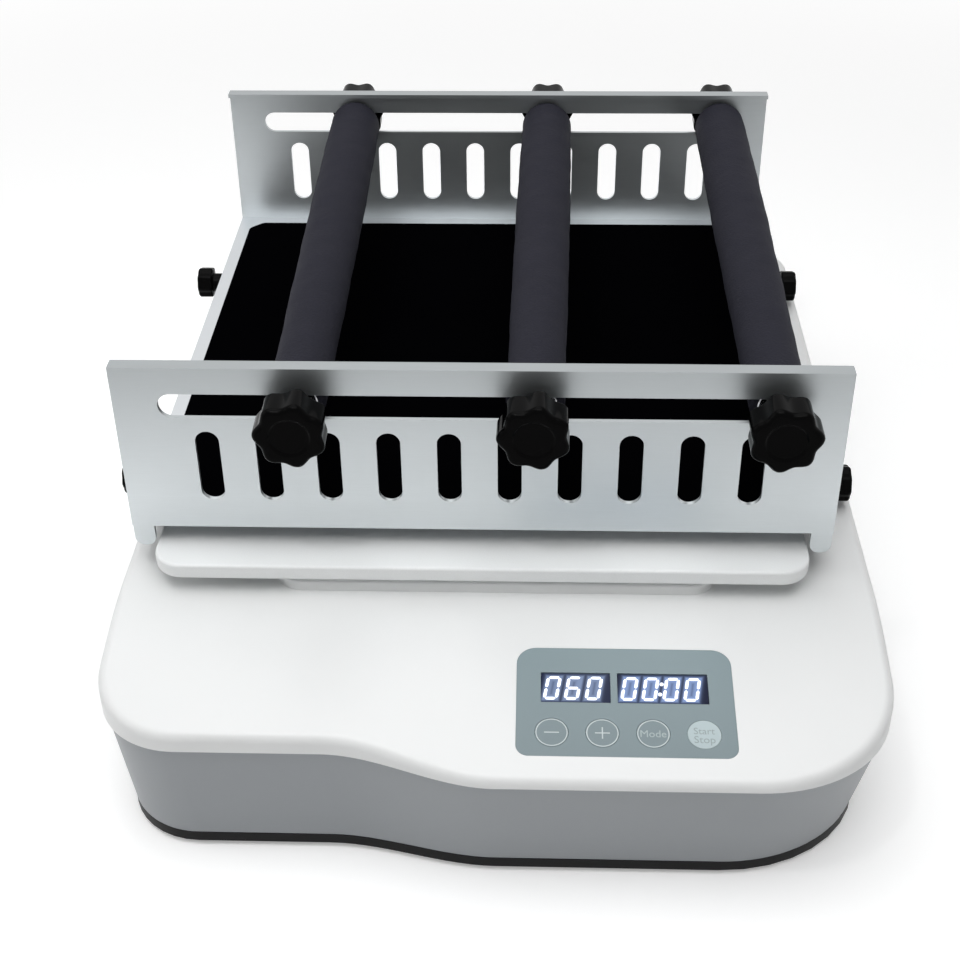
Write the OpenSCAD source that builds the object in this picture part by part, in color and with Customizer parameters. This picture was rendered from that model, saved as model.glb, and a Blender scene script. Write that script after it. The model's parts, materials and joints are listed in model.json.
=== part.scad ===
// Orbital platform shaker with a universal clamp tray.
// Millimetres, X to the right, Y to the back, Z up. The origin lies on the bench, below the
// centre of the box that holds the whole machine at rest.

/* [Body] */
// Width of the top cover
body_w = 326; // [318:1:350]
// Reach of the top cover in front of the spindle, on its right half
front_reach = 250; // [246:1:270]
// Reach of the top cover behind the spindle
rear_reach = 180; // [178:1:200]
// How far the left half of the front stands back behind the right half
front_step = 17.3; // [10:0.1:20]
// Where the S-curve of the front begins, left of the spindle
step_from = 68; // [50:1:80]
// Where the S-curve of the front ends, right of the spindle
step_to = 2; // [0:1:12]
// Inward lean of the sides from the parting line to the base
side_draft = 5; // [2:0.5:7]
// Inward lean of the left half of the front
left_front_draft = 6.5; // [3:0.5:8]
// Inward lean of the right half of the front
right_front_draft = 12.5; // [8:0.5:14]
// Radius of the left front corner
left_corner = 36; // [32:1:40]
// Width of the broad right front corner
right_corner_w = 58; // [50:1:64]
// Depth of the broad right front corner
right_corner_d = 51; // [46:1:56]
// Radius of the rear corners
rear_corner = 30; // [26:1:36]
// Overhang of the top cover past the lower housing
lip_overhang = 1; // [0.5:0.1:2]
// Wall of the housings
wall = 3; // [2.5:0.1:3.5]
// Height of the rubber feet under the base plate
foot_h = 3; // [2:0.5:5]
// Diameter of the rubber feet
foot_d = 24; // [18:1:28]
// Thickness of the base plate
base_t = 5; // [4:0.5:6]
// Height of the parting line over the bench
parting_h = 62; // [60:0.5:63]
// Height of the deck of the top cover over the bench
deck_h = 85; // [83:0.5:88]
// Rise of the plinth under the working plate
plinth_rise = 5; // [4:0.5:6]
// Width of the plinth
plinth_w = 190; // [186:1:210]
// Depth of the plinth
plinth_d = 314; // [300:1:320]
// Height of the sloping front at the front edge
front_edge_h = 66.6; // [66.5:0.1:69]
// Slope of the front in degrees
front_slope = 12.6; // [11:0.1:15]
// Rounding of the shoulder of the top cover
shoulder_r = 4.5; // [2:0.1:5]

/* [Control panel] */
// Width of the panel overlay
panel_w = 87.6; // [85:0.1:92]
// Height of the panel overlay along the slope
panel_h = 52.4; // [51:0.1:56]
// Thickness of the overlay, flush in its recess
panel_t = 1; // [0.8:0.1:1.2]
// Panel centre, right of the spindle
panel_x = 53.7; // [50:0.1:58]
// Panel centre, behind the front edge
panel_back = 36.9; // [34:0.1:40]
// Radius of the upper corners of the overlay
panel_top_r = 8; // [6:0.5:10]
// Radius of the lower corners of the overlay
panel_low_r = 5; // [3:0.5:6]
// Height of both displays
display_h = 14.5; // [13:0.5:16]
// Width of the speed display
speed_display_w = 28; // [26:0.5:29]
// Width of the timer display
timer_display_w = 36.5; // [35:0.5:37]
// Centre of the speed display, left of the panel centre
speed_display_x = 19.8; // [19.2:0.1:21]
// Centre of the timer display, right of the panel centre
timer_display_x = 15.4; // [15:0.1:16.5]
// Display centres below the upper edge of the overlay
display_down = 19.6; // [18:0.1:21]
// Key centres below the upper edge of the overlay
key_down = 41.3; // [40:0.1:43]
// Diameter of the keys
key_d = 13; // [12:0.5:14]
// Distance from key to key
key_pitch = 20.1; // [19:0.1:20.5]
// Travel of a key
key_travel = 0.5; // [0.3:0.1:0.8]

/* [Drive] */
// Radius of the orbit
orbit_r = 10; // [8:0.5:11]
// Angle of the eccentric at rest
rest_angle = 130; // [0:5:180]
// Followers, left and right of the spindle
follower_x = 72; // [68:1:74]
// Followers, in front of and behind the spindle
follower_y = 120; // [112:1:126]
// Bore of the follower bearings
bearing_bore = 8; // [7:0.5:9]
// Outer diameter of the post bearings
bearing_d = 22; // [21:0.5:24]
// Width of the post bearings
bearing_w = 7; // [6:0.5:8]
// Outer diameter of the bearings in the working plate
plate_bearing_d = 19; // [18:0.5:22]
// Bore of the spindle bearings
spindle_bore = 12; // [11:0.5:14]
// Outer diameter of the spindle bearings
spindle_bearing_d = 28; // [26:0.5:30]
// Width of the spindle bearings
spindle_bearing_w = 8; // [7:0.5:9]
// Radial running clearance of every shaft and pin
run_gap = 0.05; // [0.02:0.01:0.09]
// Radius of the driven pulley
pulley_r = 55; // [50:1:58]
// Radius of the motor pulley
motor_pulley_r = 13.75; // [12:0.25:16]
// Width of the belt
belt_w = 8; // [6:0.5:9]
// Thickness of the belt
belt_t = 1.6; // [1.2:0.1:2]
// Motor axis behind the spindle
motor_y = 112; // [108:1:116]
// Radius of the motor
motor_r = 26; // [24:0.5:28]
// Height of the motor
motor_h = 33; // [28:1:36]
// Radius of the counterweight
counterweight_r = 70; // [60:1:74]
// Thickness of the counterweight
counterweight_t = 10; // [8:0.5:11]

/* [Working plate] */
// Room between the working plate and the side flanges of the tray
side_room = 7.5; // [6:0.5:10]
// Depth of the working plate
plate_d = 336; // [326:1:346]
// Thickness of the working plate
plate_t = 7; // [6.5:0.5:9]
// Corner radius of the working plate
plate_corner = 13; // [8:1:20]
// Gap between the plinth and the working plate
plate_gap = 3; // [2:0.5:5]

/* [Clamp tray] */
// Width of the tray
tray_w = 299; // [296:1:310]
// Depth of the tray over its walls
tray_d = 304; // [290:1:320]
// Thickness of the sheet
sheet = 2; // [1.5:0.1:2.5]
// Height of the tray walls
tray_wall_h = 78.5; // [76:0.5:90]
// Depth of the return lip on top of the walls
lip_w = 6.5; // [4:0.5:10]
// Height of the tray over the working plate
tray_lift = 9; // [8:0.5:12]
// Number of upright slots in a wall
slot_count = 10; // [6:1:11]
// Distance from slot to slot
slot_pitch = 25; // [20:0.5:26]
// Width of the upright slots
slot_w = 10; // [6:0.5:12]
// Lower end of the upright slots over the tray's underside
slot_low = 14.3; // [10:0.1:20]
// Upper end of the upright slots over the tray's underside
slot_high = 48.4; // [40:0.1:50]
// Axis of the long slot over the tray's underside
rail_z = 60.7; // [59:0.1:64]
// Width of the long slot
rail_h = 11.3; // [10:0.1:12]
// Length of the long slot
rail_len = 262; // [260:1:270]
// Height of the side flanges below the tray
flange_h = 11; // [9:0.5:12]
// Width of the front and rear ears of the flanges
ear_w = 9; // [6:0.5:9]
// Radius of the clamp lugs on the flanges
lug_r = 7.5; // [6:0.5:8]
// Thickness of the mat
mat_t = 3; // [2:0.5:5]
// Distance of the mat from the tray's sides
mat_side = 7.5; // [5:0.5:12]
// Distance of the mat from the rear wall
mat_rear = 13; // [5:0.5:20]
// Cut at the rear corners of the mat
mat_cut = 7; // [3:0.5:10]

/* [Clamp bars] */
// Left bar, left of the tray's middle
left_bar_x = 76.9; // [70:0.1:80]
// Middle bar, right of the tray's middle
middle_bar_x = 25.4; // [20:0.1:30]
// Right bar, right of the tray's middle
right_bar_x = 122.6; // [118:0.1:123.5]
// Turn of the left bar in its slots, seen from above, in degrees
left_bar_turn = 0.9; // [-1.5:0.1:1.5]
// Turn of the middle bar in its slots
middle_bar_turn = -1; // [-1.5:0.1:1.5]
// Turn of the right bar in its slots
right_bar_turn = -0.5; // [-0.8:0.1:0.8]
// Diameter of the bars
bar_d = 8; // [7:0.5:9]
// Diameter of the foam sleeves
sleeve_d = 27.5; // [22:0.5:28]
// Diameter of the star knobs over their lobes
star_d = 30; // [26:0.5:30]
// Lobes of a star knob
star_lobes = 7; // [5:1:8]
// Depth of the head of a star knob
star_head = 14.5; // [12:0.5:18]
// Depth of the hub of a star knob
star_hub = 8.5; // [6:0.5:10]
// Diameter of the hub of a star knob
star_hub_d = 16; // [13:0.5:18]

/* [Side clamps] */
// Side clamps, in front of and behind the tray's middle
clamp_y = 96; // [88:1:104]
// Diameter of the side knobs
side_knob_d = 17; // [14:0.5:18]
// Depth of the side knobs
side_knob_t = 8; // [6:0.5:10]
// Length of the neck between the flange and the knob
side_neck = 8.7; // [6:0.1:10]
// Diameter of the clamp screws
clamp_screw_d = 5; // [4:0.5:6]

/* [Rear and side fittings] */
// Mains inlet, in from the left side
inlet_in = 53; // [46:1:72]
// Mains inlet over the bench
inlet_z = 34; // [28:1:40]
// Power switch, behind the front edge
switch_back = 66; // [60:1:80]
// Power switch over the bench
switch_z = 31; // [26:1:36]
// Tilt of the rocker to either side
rocker_tilt = 8; // [6:0.5:10]

/* [Hidden] */
$fn = 64;

// Clearances
air = 0.3;                      // between pieces that move past each other
cut = 1;                        // how far a cutting shape runs past what it cuts
bar_air = 0.5;                  // between the tray walls and what a turned bar carries
bolt_gap = 0.15;                // round a screw in its through hole

// Heights over the bench
base_top = foot_h + base_t;
plinth_top = deck_h + plinth_rise;
plate_z = plinth_top + plate_gap;
plate_top = plate_z + plate_t;
tray_z = plate_top + tray_lift;
floor_top = tray_z + sheet;
bar_z = tray_z + rail_z;
web_t = 5;
web_top = plinth_top - wall - 3;
web_z = web_top - web_t;
collar_h = 2;
post_top = web_z - collar_h - air;
plate_skin = 1;
pocket_h = plate_t - plate_skin;
pin_top = plate_z + pocket_h - air;

plate_w = tray_w - 2*(sheet + side_room);

// Places in plan: the platform stands off the spindle by the eccentric
swing = orbit_r * [cos(rest_angle), sin(rest_angle)];
bars = [[-left_bar_x, left_bar_turn], [middle_bar_x, middle_bar_turn], [right_bar_x, right_bar_turn]];
bar_turn = max([for (b = bars) abs(b[1])]);
star_reach = bar_air + star_hub + star_head;
star_end = (tray_d/2 + star_reach)*cos(bar_turn) + star_d/2*sin(bar_turn);
side_reach = tray_w/2 + air + side_neck + side_knob_t;
left_end = min(-side_reach, -swing[0] - body_w/2);
right_end = max(side_reach, -swing[0] + body_w/2);
front_end = min(-star_end, -swing[1] - front_reach);
rear_end = max(star_end, -swing[1] + rear_reach);
platform = -[left_end + right_end, front_end + rear_end]/2;
spindle = platform - swing;
front_y = spindle[1] - front_reach;
rear_y = spindle[1] + rear_reach;

corners = [[-1, -1], [1, -1], [-1, 1], [1, 1]];
follower_offsets = [for (c = corners) [c[0]*follower_x, c[1]*follower_y]];
pin_r = bearing_bore/2 - run_gap;
pin_collar_r = pin_r + 1.5;
plinth_hole_r = orbit_r + pin_collar_r + 1.5;

// Outline of the housings at a level, 1 at the parting line and 0 at the base.
// It runs anticlockwise from the left side, and its first and last front points lie on the
// line where the slope of the cover meets the deck.
corner_steps = 9;
curve_steps = 14;
break_y = front_y + (deck_h - front_edge_h)/tan(front_slope);
front_points = 2*(corner_steps + 1) + curve_steps + 3;

function arc(c, rx, ry, from) =
    [for (i = [0:corner_steps]) let (a = from + 90*i/corner_steps) c + [rx*cos(a), ry*sin(a)]];
function mix(low, high, level) = low + (high - low)*level;
function outline(level, overhang = 0) =
    let (
        half = body_w/2 - lip_overhang + overhang - side_draft*(1 - level),
        left = spindle[0] - half,
        right = spindle[0] + half,
        edge = lip_overhang - overhang,
        low_r = front_y + edge + right_front_draft*(1 - level),
        low_l = front_y + front_step + edge + left_front_draft*(1 - level),
        back = rear_y - edge,
        cl = left_corner - mix(3, 0, level),
        cw = right_corner_w + mix(5, 0, level),
        cd = right_corner_d + mix(4, 0, level),
        from = spindle[0] - step_from,
        to = spindle[0] + step_to
    )
    concat(
        [[left, break_y]],
        arc([left + cl, low_l + cl], cl, cl, 180),
        [for (i = [0:curve_steps]) let (t = i/curve_steps)
            [mix(from, to, t), mix(low_l, low_r, t*t*(3 - 2*t))]],
        arc([right - cw, low_r + cd], cw, cd, 270),
        [[right, break_y]],
        arc([right - rear_corner, back - rear_corner], rear_corner, rear_corner, 0),
        arc([left + rear_corner, back - rear_corner], rear_corner, rear_corner, 90)
    );

function unit(v) = v/norm(v);
function inset(points, d) =
    let (n = len(points))
    [for (i = [0:n - 1])
        let (
            u = unit(points[i] - points[(i + n - 1) % n]),
            v = unit(points[(i + 1) % n] - points[i])
        )
        points[i] + [-u[1] - v[1], u[0] + v[0]]*d/(1 + u*v)];
function lifted(points, z) = [for (p = points) [p[0], p[1], z]];

// Height of the top of the cover, without its plinth
function top_z(y) = min(deck_h, front_edge_h + (y - front_y)*tan(front_slope));

// Solid through rings of equally many points, from the lowest to the highest. The top cap is
// two planes, which meet on the line between the first and the last front point.
module loft(rings) {
    n = len(rings[0]);
    top = n*(len(rings) - 1);
    sides = [for (k = [0:len(rings) - 2], i = [0:n - 1])
        let (a = k*n + i, b = k*n + (i + 1) % n)
        each [[a, a + n, b + n], [a, b + n, b]]];
    slope_cap = [for (i = [front_points - 1:-1:0]) top + i];
    deck_cap = concat([top], [for (i = [n - 1:-1:front_points - 1]) top + i]);
    polyhedron([for (r = rings) each r], concat([[for (i = [0:n - 1]) i]], sides, [slope_cap, deck_cap]));
}

// Plan shapes
module rounded(w, d, r) {
    square([w - 2*r, d], center = true);
    square([w, d - 2*r], center = true);
    for (c = corners) translate([c[0]*(w/2 - r), c[1]*(d/2 - r)]) circle(r);
}
module slot(len, w) {
    square([len - w, w], center = true);
    for (s = [-1, 1]) translate([s*(len - w)/2, 0]) circle(d = w);
}
module tube(od, id, h) {
    difference() {
        cylinder(h = h, d = od);
        translate([0, 0, -cut]) cylinder(h = h + 2*cut, d = id);
    }
}
module screw(r, length, head_r, head_h) {
    cylinder(h = length, r = r);
    translate([0, 0, -head_h]) cylinder(h = head_h, r = head_r);
}

// ---------------------------------------------------------------- base and housings

foot_in = 34;
corner_shift = [20, 12];        // further in at the broad right front corner
foot_half_w = body_w/2 - lip_overhang - side_draft;
foot_front_l = front_y + front_step + lip_overhang + left_front_draft;
foot_front_r = front_y + lip_overhang + right_front_draft;
foot_rear = rear_y - lip_overhang;
function foot_points(in) = [
    [spindle[0] - foot_half_w + in, foot_front_l + in],
    [spindle[0] + foot_half_w - in - corner_shift[0], foot_front_r + in + corner_shift[1]],
    [spindle[0] - foot_half_w + in, foot_rear - in],
    [spindle[0] + foot_half_w - in, foot_rear - in]];

// Screws from below through the base and the lower housing into the top cover
boss_r = 5;
case_screw_r = 2;
case_head_r = 3.8;
case_head_h = 2.6;
boss_in = 16;
boss_in_front = 20;
boss_in_broad = 34;
case_points = [
    [spindle[0] - foot_half_w + boss_in + 2, foot_front_l + boss_in_front],
    [spindle[0] + foot_half_w - boss_in_broad, foot_front_r + boss_in_broad],
    [spindle[0] - foot_half_w + boss_in, foot_rear - boss_in],
    [spindle[0] + foot_half_w - boss_in, foot_rear - boss_in]];
rib_reach = 24;
head_sink = 3;                  // how deep the screw heads sit in the base plate
case_grip = 7;                  // how far the case screws reach into the top cover
case_seat_z = foot_h + head_sink;
case_screw_top = parting_h + case_grip;

m4_r = 2;
m4_head_r = 3.5;
m4_head_h = 3.2;
m3_r = 1.5;
m3_head_r = 2.75;
m3_head_h = 2;

post_r = bearing_d/2 + 4;
post_flange_r = post_r + 8;
post_flange_t = 4;
flange_bolt_r = post_r + 4;
flange_bolts = [for (o = follower_offsets, a = [30, 150, 270])
    spindle + o + flange_bolt_r*[cos(a), sin(a)]];

// Drive bracket
tube_r = spindle_bearing_d/2 + 5;
pulley_z = base_top + 14;
pulley_h = belt_w + 4;
bracket_z = pulley_z + pulley_h + 6;
bracket_t = 5;
bracket_top = bracket_z + bracket_t;
tube_low = bracket_z - 4;
counterweight_z = web_z - 3 - counterweight_t;
tube_top = counterweight_z - collar_h - air;
leg_r = 6;
leg_out = 9;                    // from the pulley's edge to the front legs
motor_leg_out = 5;              // from the motor's edge to the rear legs
bracket_edge = 7;               // from the legs' axes to the edge of the bracket
bracket_front = 51;
bracket_back = 45;
bracket_front_w = 2*(pulley_r + leg_out + bracket_edge);
bracket_rear_w = 2*(motor_r + motor_leg_out + bracket_edge);
bracket_len = motor_y + motor_r + motor_leg_out + bracket_edge;
leg_screw_in = 14;
leg_points = [for (x = [-1, 1])
    each [spindle + [x*(pulley_r + leg_out), bracket_edge - bracket_front],
        spindle + [x*(motor_r + motor_leg_out), motor_y + motor_r + motor_leg_out]]];
motor_axis = spindle + [0, motor_y];
motor_bolts = [for (a = [45:90:315]) motor_axis + (motor_r - 5)*[cos(a), sin(a)]];

// Power supply board
supply_w = 50;
supply_d = 150;
supply_in = 8;                  // from the housing's wall to the board
supply_front = 20;              // how far the board's middle stands in front of the spindle
supply_at = spindle + [-foot_half_w + wall + supply_in + supply_w/2, -supply_front];
supply_lift = 8;
supply_post_r = 4;
supply_post_in = 5;
supply_posts = [for (c = corners)
    supply_at + [c[0]*(supply_w/2 - supply_post_in), c[1]*(supply_d/2 - supply_post_in)]];
transformer = [34, 38, 24];
capacitor_r = 9;
capacitor_h = 26;
capacitor_ys = [36, 58];
heat_sink = [24, 30, 18];
board_t = 1.6;

module base_plate() color([0.07, 0.07, 0.08]) {
    difference() {
        translate([0, 0, foot_h]) linear_extrude(base_t) polygon(outline(0));
        for (p = case_points) translate([p[0], p[1], 0]) {
            cylinder(h = base_top + cut, r = case_screw_r + bolt_gap);
            cylinder(h = case_seat_z, r = case_head_r + bolt_gap);
        }
        for (p = leg_points) translate([p[0], p[1], 0]) {
            cylinder(h = base_top + cut, r = m4_r + bolt_gap);
            cylinder(h = case_seat_z, r = m4_head_r + bolt_gap);
        }
        for (p = flange_bolts) translate([p[0], p[1], foot_h - cut])
            cylinder(h = base_t + 2*cut, r = m4_r);
        for (p = foot_points(foot_in)) translate([p[0], p[1], foot_h - cut])
            cylinder(h = foot_plug_h + cut, r = foot_plug_r);
    }
    for (p = supply_posts) translate([p[0], p[1], base_top])
        cylinder(h = supply_lift, r = supply_post_r);
}

foot_plug_h = 3;
foot_plug_r = 4;
module rubber_feet() color([0.1, 0.1, 0.1])
    for (p = foot_points(foot_in)) translate([p[0], p[1], 0]) {
        cylinder(h = foot_h, d = foot_d);
        cylinder(h = foot_h + foot_plug_h, r = foot_plug_r);
    }

module bosses(r, low, high)
    for (p = case_points) translate([p[0], p[1], low]) cylinder(h = high - low, r = r);
// Ribs that tie the bosses to the corners of the housings
module boss_ribs(low, high)
    for (i = [0:3]) translate([case_points[i][0], case_points[i][1], low])
        rotate(atan2(corners[i][1], corners[i][0])) translate([0, -wall/2, 0])
            cube([rib_reach, wall, high - low]);

module lower_housing() color([0.53, 0.55, 0.57])
    difference() {
        loft([lifted(outline(0), base_top), lifted(outline(1), parting_h)]);
        difference() {
            loft([lifted(inset(outline(0), wall), base_top - cut),
                lifted(inset(outline(1), wall), parting_h + cut)]);
            bosses(boss_r, base_top - 2*cut, parting_h + 2*cut);
            boss_ribs(base_top - 2*cut, parting_h + 2*cut);
        }
        bosses(case_screw_r + bolt_gap, base_top - cut, parting_h + cut);
        on_rear_wall() translate([0, 0, -wall - 2*cut])
            linear_extrude(wall + 3*cut) square([inlet_body_w, inlet_body_h], center = true);
        on_right_wall() translate([0, 0, -wall - 2*cut])
            linear_extrude(wall + 3*cut) square([switch_body_w, switch_body_h], center = true);
    }

shoulder = min(shoulder_r, front_edge_h - parting_h);
shoulder_steps = 3;
module cover_outside() {
    rim = outline(1, lip_overhang);
    edge = inset(rim, shoulder);
    rings = [for (k = [0:shoulder_steps])
        let (a = 90*k/shoulder_steps, ring = inset(rim, shoulder*(1 - cos(a))))
        [for (i = [0:len(rim) - 1])
            [ring[i][0], ring[i][1], top_z(edge[i][1]) - shoulder*(1 - sin(a))]]];
    loft(concat([lifted(rim, parting_h)], rings));
}
module cover_inside() {
    rim = inset(outline(1), wall);
    loft([lifted(rim, parting_h - cut), [for (p = rim) [p[0], p[1], top_z(p[1]) - wall]]]);
}

module top_cover() color([0.95, 0.95, 0.95])
    difference() {
        union() {
            cover_outside();
            translate([spindle[0], spindle[1], deck_h - wall])
                linear_extrude(plinth_rise + wall) rounded(plinth_w, plinth_d, 12);
        }
        difference() {
            union() {
                cover_inside();
                translate([spindle[0], spindle[1], deck_h - wall - cut])
                    linear_extrude(plinth_rise + cut) rounded(plinth_w - 2*wall, plinth_d - 2*wall, 12 - wall);
            }
            bosses(boss_r, parting_h - 2*cut, deck_h);
            on_panel() for (p = board_bosses) translate([p[0], p[1], board_top])
                cylinder(h = -board_top, r = board_boss_r);
        }
        bosses(case_screw_r, parting_h - cut, case_screw_top + 0.5);
        for (o = concat([[0, 0]], follower_offsets))
            translate([spindle[0] + o[0], spindle[1] + o[1], parting_h])
                cylinder(h = plinth_top - parting_h + cut, r = plinth_hole_r);
        on_panel() {
            translate([0, 0, -panel_t]) linear_extrude(panel_t + cut) panel_shape(0);
            translate([0, 0, -2*wall]) linear_extrude(2*wall + cut) panel_windows(display_gap);
            for (p = board_bosses) translate([p[0], p[1], board_top - cut])
                cylinder(h = board_screw_in + cut, r = m3_r);
        }
    }

module case_screws() color([0.6, 0.6, 0.62])
    for (p = case_points) translate([p[0], p[1], case_seat_z])
        screw(case_screw_r, case_screw_top - case_seat_z, case_head_r, case_head_h);

// ---------------------------------------------------------------- control panel

panel_y = front_y + panel_back;
module on_panel()
    translate([spindle[0] + panel_x, panel_y, top_z(panel_y)]) rotate([front_slope, 0, 0]) children();

display_y = panel_h/2 - display_down;
key_y = panel_h/2 - key_down;
key_shift = 0.6;
key_xs = [for (i = [0:3]) key_shift + (i - 1.5)*key_pitch];
display_gap = 0.1;
display_top = -panel_t*0.6;
key_flange_t = 1;
key_flange_r = key_d/2 + 1.2;
key_flange_top = -wall - air;
key_stem_r = 2;
key_low = key_flange_top - key_flange_t - 0.7;
switch_top = key_low - key_travel - air;
switch_h = 3.8;
board_top = switch_top - switch_h;
board_w = panel_w - 1;
board_d = panel_h - 6;
board_boss_r = 2.8;
board_bosses = [for (c = corners) [c[0]*(board_w/2 - 3), c[1]*(board_d/2 - 3)]];
board_screw_in = 4.5;

module panel_shape(shrink) {
    w = panel_w - 2*shrink;
    h = panel_h - 2*shrink;
    rounded(w, h, panel_top_r);
    translate([0, -h/4]) rounded(w, h/2, panel_low_r);
}
module panel_windows(gap) {
    translate([-speed_display_x, display_y])
        square([speed_display_w + 2*gap, display_h + 2*gap], center = true);
    translate([timer_display_x, display_y])
        square([timer_display_w + 2*gap, display_h + 2*gap], center = true);
    for (x = key_xs) translate([x, key_y]) circle(r = key_d/2 + air);
}
module panel_overlay() color([0.54, 0.6, 0.62])
    on_panel() translate([0, 0, -panel_t]) linear_extrude(panel_t)
        difference() {
            panel_shape(0.1);
            panel_windows(display_gap);
        }
module display(x, w) color([0.05, 0.06, 0.12])
    on_panel() translate([x, display_y, (board_top + display_top)/2])
        cube([w, display_h, display_top - board_top], center = true);
module speed_display() display(-speed_display_x, speed_display_w);
module timer_display() display(timer_display_x, timer_display_w);
module control_board() color([0.05, 0.35, 0.2])
    on_panel() difference() {
        translate([0, 0, board_top - board_t/2]) cube([board_w, board_d, board_t], center = true);
        for (p = board_bosses) translate([p[0], p[1], board_top - board_t - cut])
            cylinder(h = board_t + 2*cut, r = m3_r + bolt_gap);
    }
module tact_switches() color([0.15, 0.15, 0.16])
    on_panel() for (x = key_xs) translate([x, key_y, board_top]) {
        translate([-3, -3, 0]) cube([6, 6, switch_h - 0.8]);
        cylinder(h = switch_h, r = 1.6);
    }
module key(i) color([0.6, 0.66, 0.68])
    on_panel() translate([key_xs[i], key_y, 0]) {
        translate([0, 0, key_flange_top]) cylinder(h = -key_flange_top, d = key_d);
        translate([0, 0, key_flange_top - key_flange_t]) cylinder(h = key_flange_t, r = key_flange_r);
        translate([0, 0, key_low]) cylinder(h = key_flange_top - key_low, r = key_stem_r);
    }

// ---------------------------------------------------------------- fixed drive parts

module bearing_posts() color([0.7, 0.7, 0.72])
    difference() {
        for (o = follower_offsets) translate([spindle[0] + o[0], spindle[1] + o[1], base_top])
            difference() {
                union() {
                    cylinder(h = post_flange_t, r = post_flange_r);
                    cylinder(h = post_top - base_top, r = post_r);
                }
                translate([0, 0, -cut]) cylinder(h = post_top - base_top + 2*cut, r = bearing_d/2 - 2);
                translate([0, 0, -cut])
                    cylinder(h = low_bearing_z + bearing_w - base_top + cut, d = bearing_d);
                translate([0, 0, post_top - bearing_w - base_top])
                    cylinder(h = bearing_w + cut, d = bearing_d);
            }
        for (p = flange_bolts) translate([p[0], p[1], base_top - cut])
            cylinder(h = post_flange_t + 2*cut, r = m4_r + bolt_gap);
    }

low_bearing_rise = 25;
low_bearing_z = base_top + low_bearing_rise;
module post_bearings() color([0.75, 0.76, 0.78])
    for (o = follower_offsets, z = [low_bearing_z, post_top - bearing_w])
        translate([spindle[0] + o[0], spindle[1] + o[1], z]) tube(bearing_d, bearing_bore, bearing_w);

module drive_bracket() color([0.62, 0.63, 0.65])
    difference() {
        union() {
            translate([spindle[0] - bracket_front_w/2, spindle[1] - bracket_front, bracket_z])
                cube([bracket_front_w, bracket_front + bracket_back, bracket_t]);
            translate([spindle[0] - bracket_rear_w/2, spindle[1], bracket_z])
                cube([bracket_rear_w, bracket_len, bracket_t]);
            translate([spindle[0], spindle[1], tube_low]) cylinder(h = tube_top - tube_low, r = tube_r);
            for (p = leg_points) translate([p[0], p[1], base_top])
                cylinder(h = bracket_z - base_top + 1, r = leg_r);
        }
        translate([spindle[0], spindle[1], tube_low - cut]) {
            cylinder(h = tube_top - tube_low + 2*cut, r = spindle_bearing_d/2 - 2.5);
            cylinder(h = spindle_bearing_w + cut, d = spindle_bearing_d);
        }
        translate([spindle[0], spindle[1], tube_top - spindle_bearing_w])
            cylinder(h = spindle_bearing_w + cut, d = spindle_bearing_d);
        translate([motor_axis[0], motor_axis[1], bracket_z - cut])
            cylinder(h = bracket_t + 2*cut, r = motor_pilot_r);
        for (p = motor_bolts) translate([p[0], p[1], bracket_z - cut])
            cylinder(h = bracket_t + 2*cut, r = m3_r + bolt_gap);
        for (p = leg_points) translate([p[0], p[1], base_top - cut]) cylinder(h = leg_screw_in + cut, r = m4_r);
    }

module spindle_bearings() color([0.75, 0.76, 0.78])
    for (z = [tube_low, tube_top - spindle_bearing_w]) translate([spindle[0], spindle[1], z])
        tube(spindle_bearing_d, spindle_bore, spindle_bearing_w);

motor_pilot_r = 8;
motor_shaft_r = 3;
motor_wall = 2;
stator_in = 3;
rotor_r = 15;
module motor_housing() color([0.2, 0.21, 0.23])
    translate([motor_axis[0], motor_axis[1], bracket_top]) difference() {
        cylinder(h = motor_h, r = motor_r);
        translate([0, 0, motor_wall]) cylinder(h = motor_h - 2*motor_wall, r = motor_r - motor_wall);
        translate([0, 0, -cut]) cylinder(h = motor_wall + 2*cut, r = motor_shaft_r + run_gap);
        for (a = [45:90:315]) rotate(a) translate([motor_r - 5, 0, -cut])
            cylinder(h = motor_wall + 2*cut, r = m3_r);
    }
module motor_stator() color([0.72, 0.42, 0.2])
    translate([motor_axis[0], motor_axis[1], bracket_top + motor_wall + stator_in])
        tube(2*(motor_r - motor_wall), 2*(rotor_r + 0.5), motor_h - 2*motor_wall - 2*stator_in);

belt_gap = 0.15;
// Outline of a belt run at a distance from the faces of both pulleys
module belt_shape(gap) {
    r1 = pulley_r + gap;
    r2 = motor_pulley_r + gap;
    a = asin((r1 - r2)/motor_y);
    circle(r1);
    translate([0, motor_y]) circle(r2);
    polygon([r1*[cos(a), sin(a)], [0, motor_y] + r2*[cos(a), sin(a)],
        [0, motor_y] + r2*[-cos(a), sin(a)], r1*[-cos(a), sin(a)]]);
}
module drive_belt() color([0.08, 0.08, 0.08])
    translate([spindle[0], spindle[1], pulley_z + 2]) linear_extrude(belt_w) difference() {
        belt_shape(belt_gap + belt_t);
        belt_shape(belt_gap);
    }

module m4_screws() color([0.6, 0.6, 0.62]) {
    for (p = flange_bolts) translate([p[0], p[1], base_top + post_flange_t]) mirror([0, 0, 1])
        screw(m4_r, post_flange_t + base_t, m4_head_r, m4_head_h);
    for (p = leg_points) translate([p[0], p[1], case_seat_z])
        screw(m4_r, leg_screw_in, m4_head_r, case_head_h);
}
module m3_screws() color([0.6, 0.6, 0.62]) {
    for (p = motor_bolts) translate([p[0], p[1], bracket_z])
        screw(m3_r, bracket_t + motor_wall, m3_head_r, m3_head_h);
    on_panel() for (p = board_bosses) translate([p[0], p[1], board_top - board_t])
        screw(m3_r, board_t + board_screw_in - 0.5, m3_head_r, m3_head_h);
}

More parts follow.
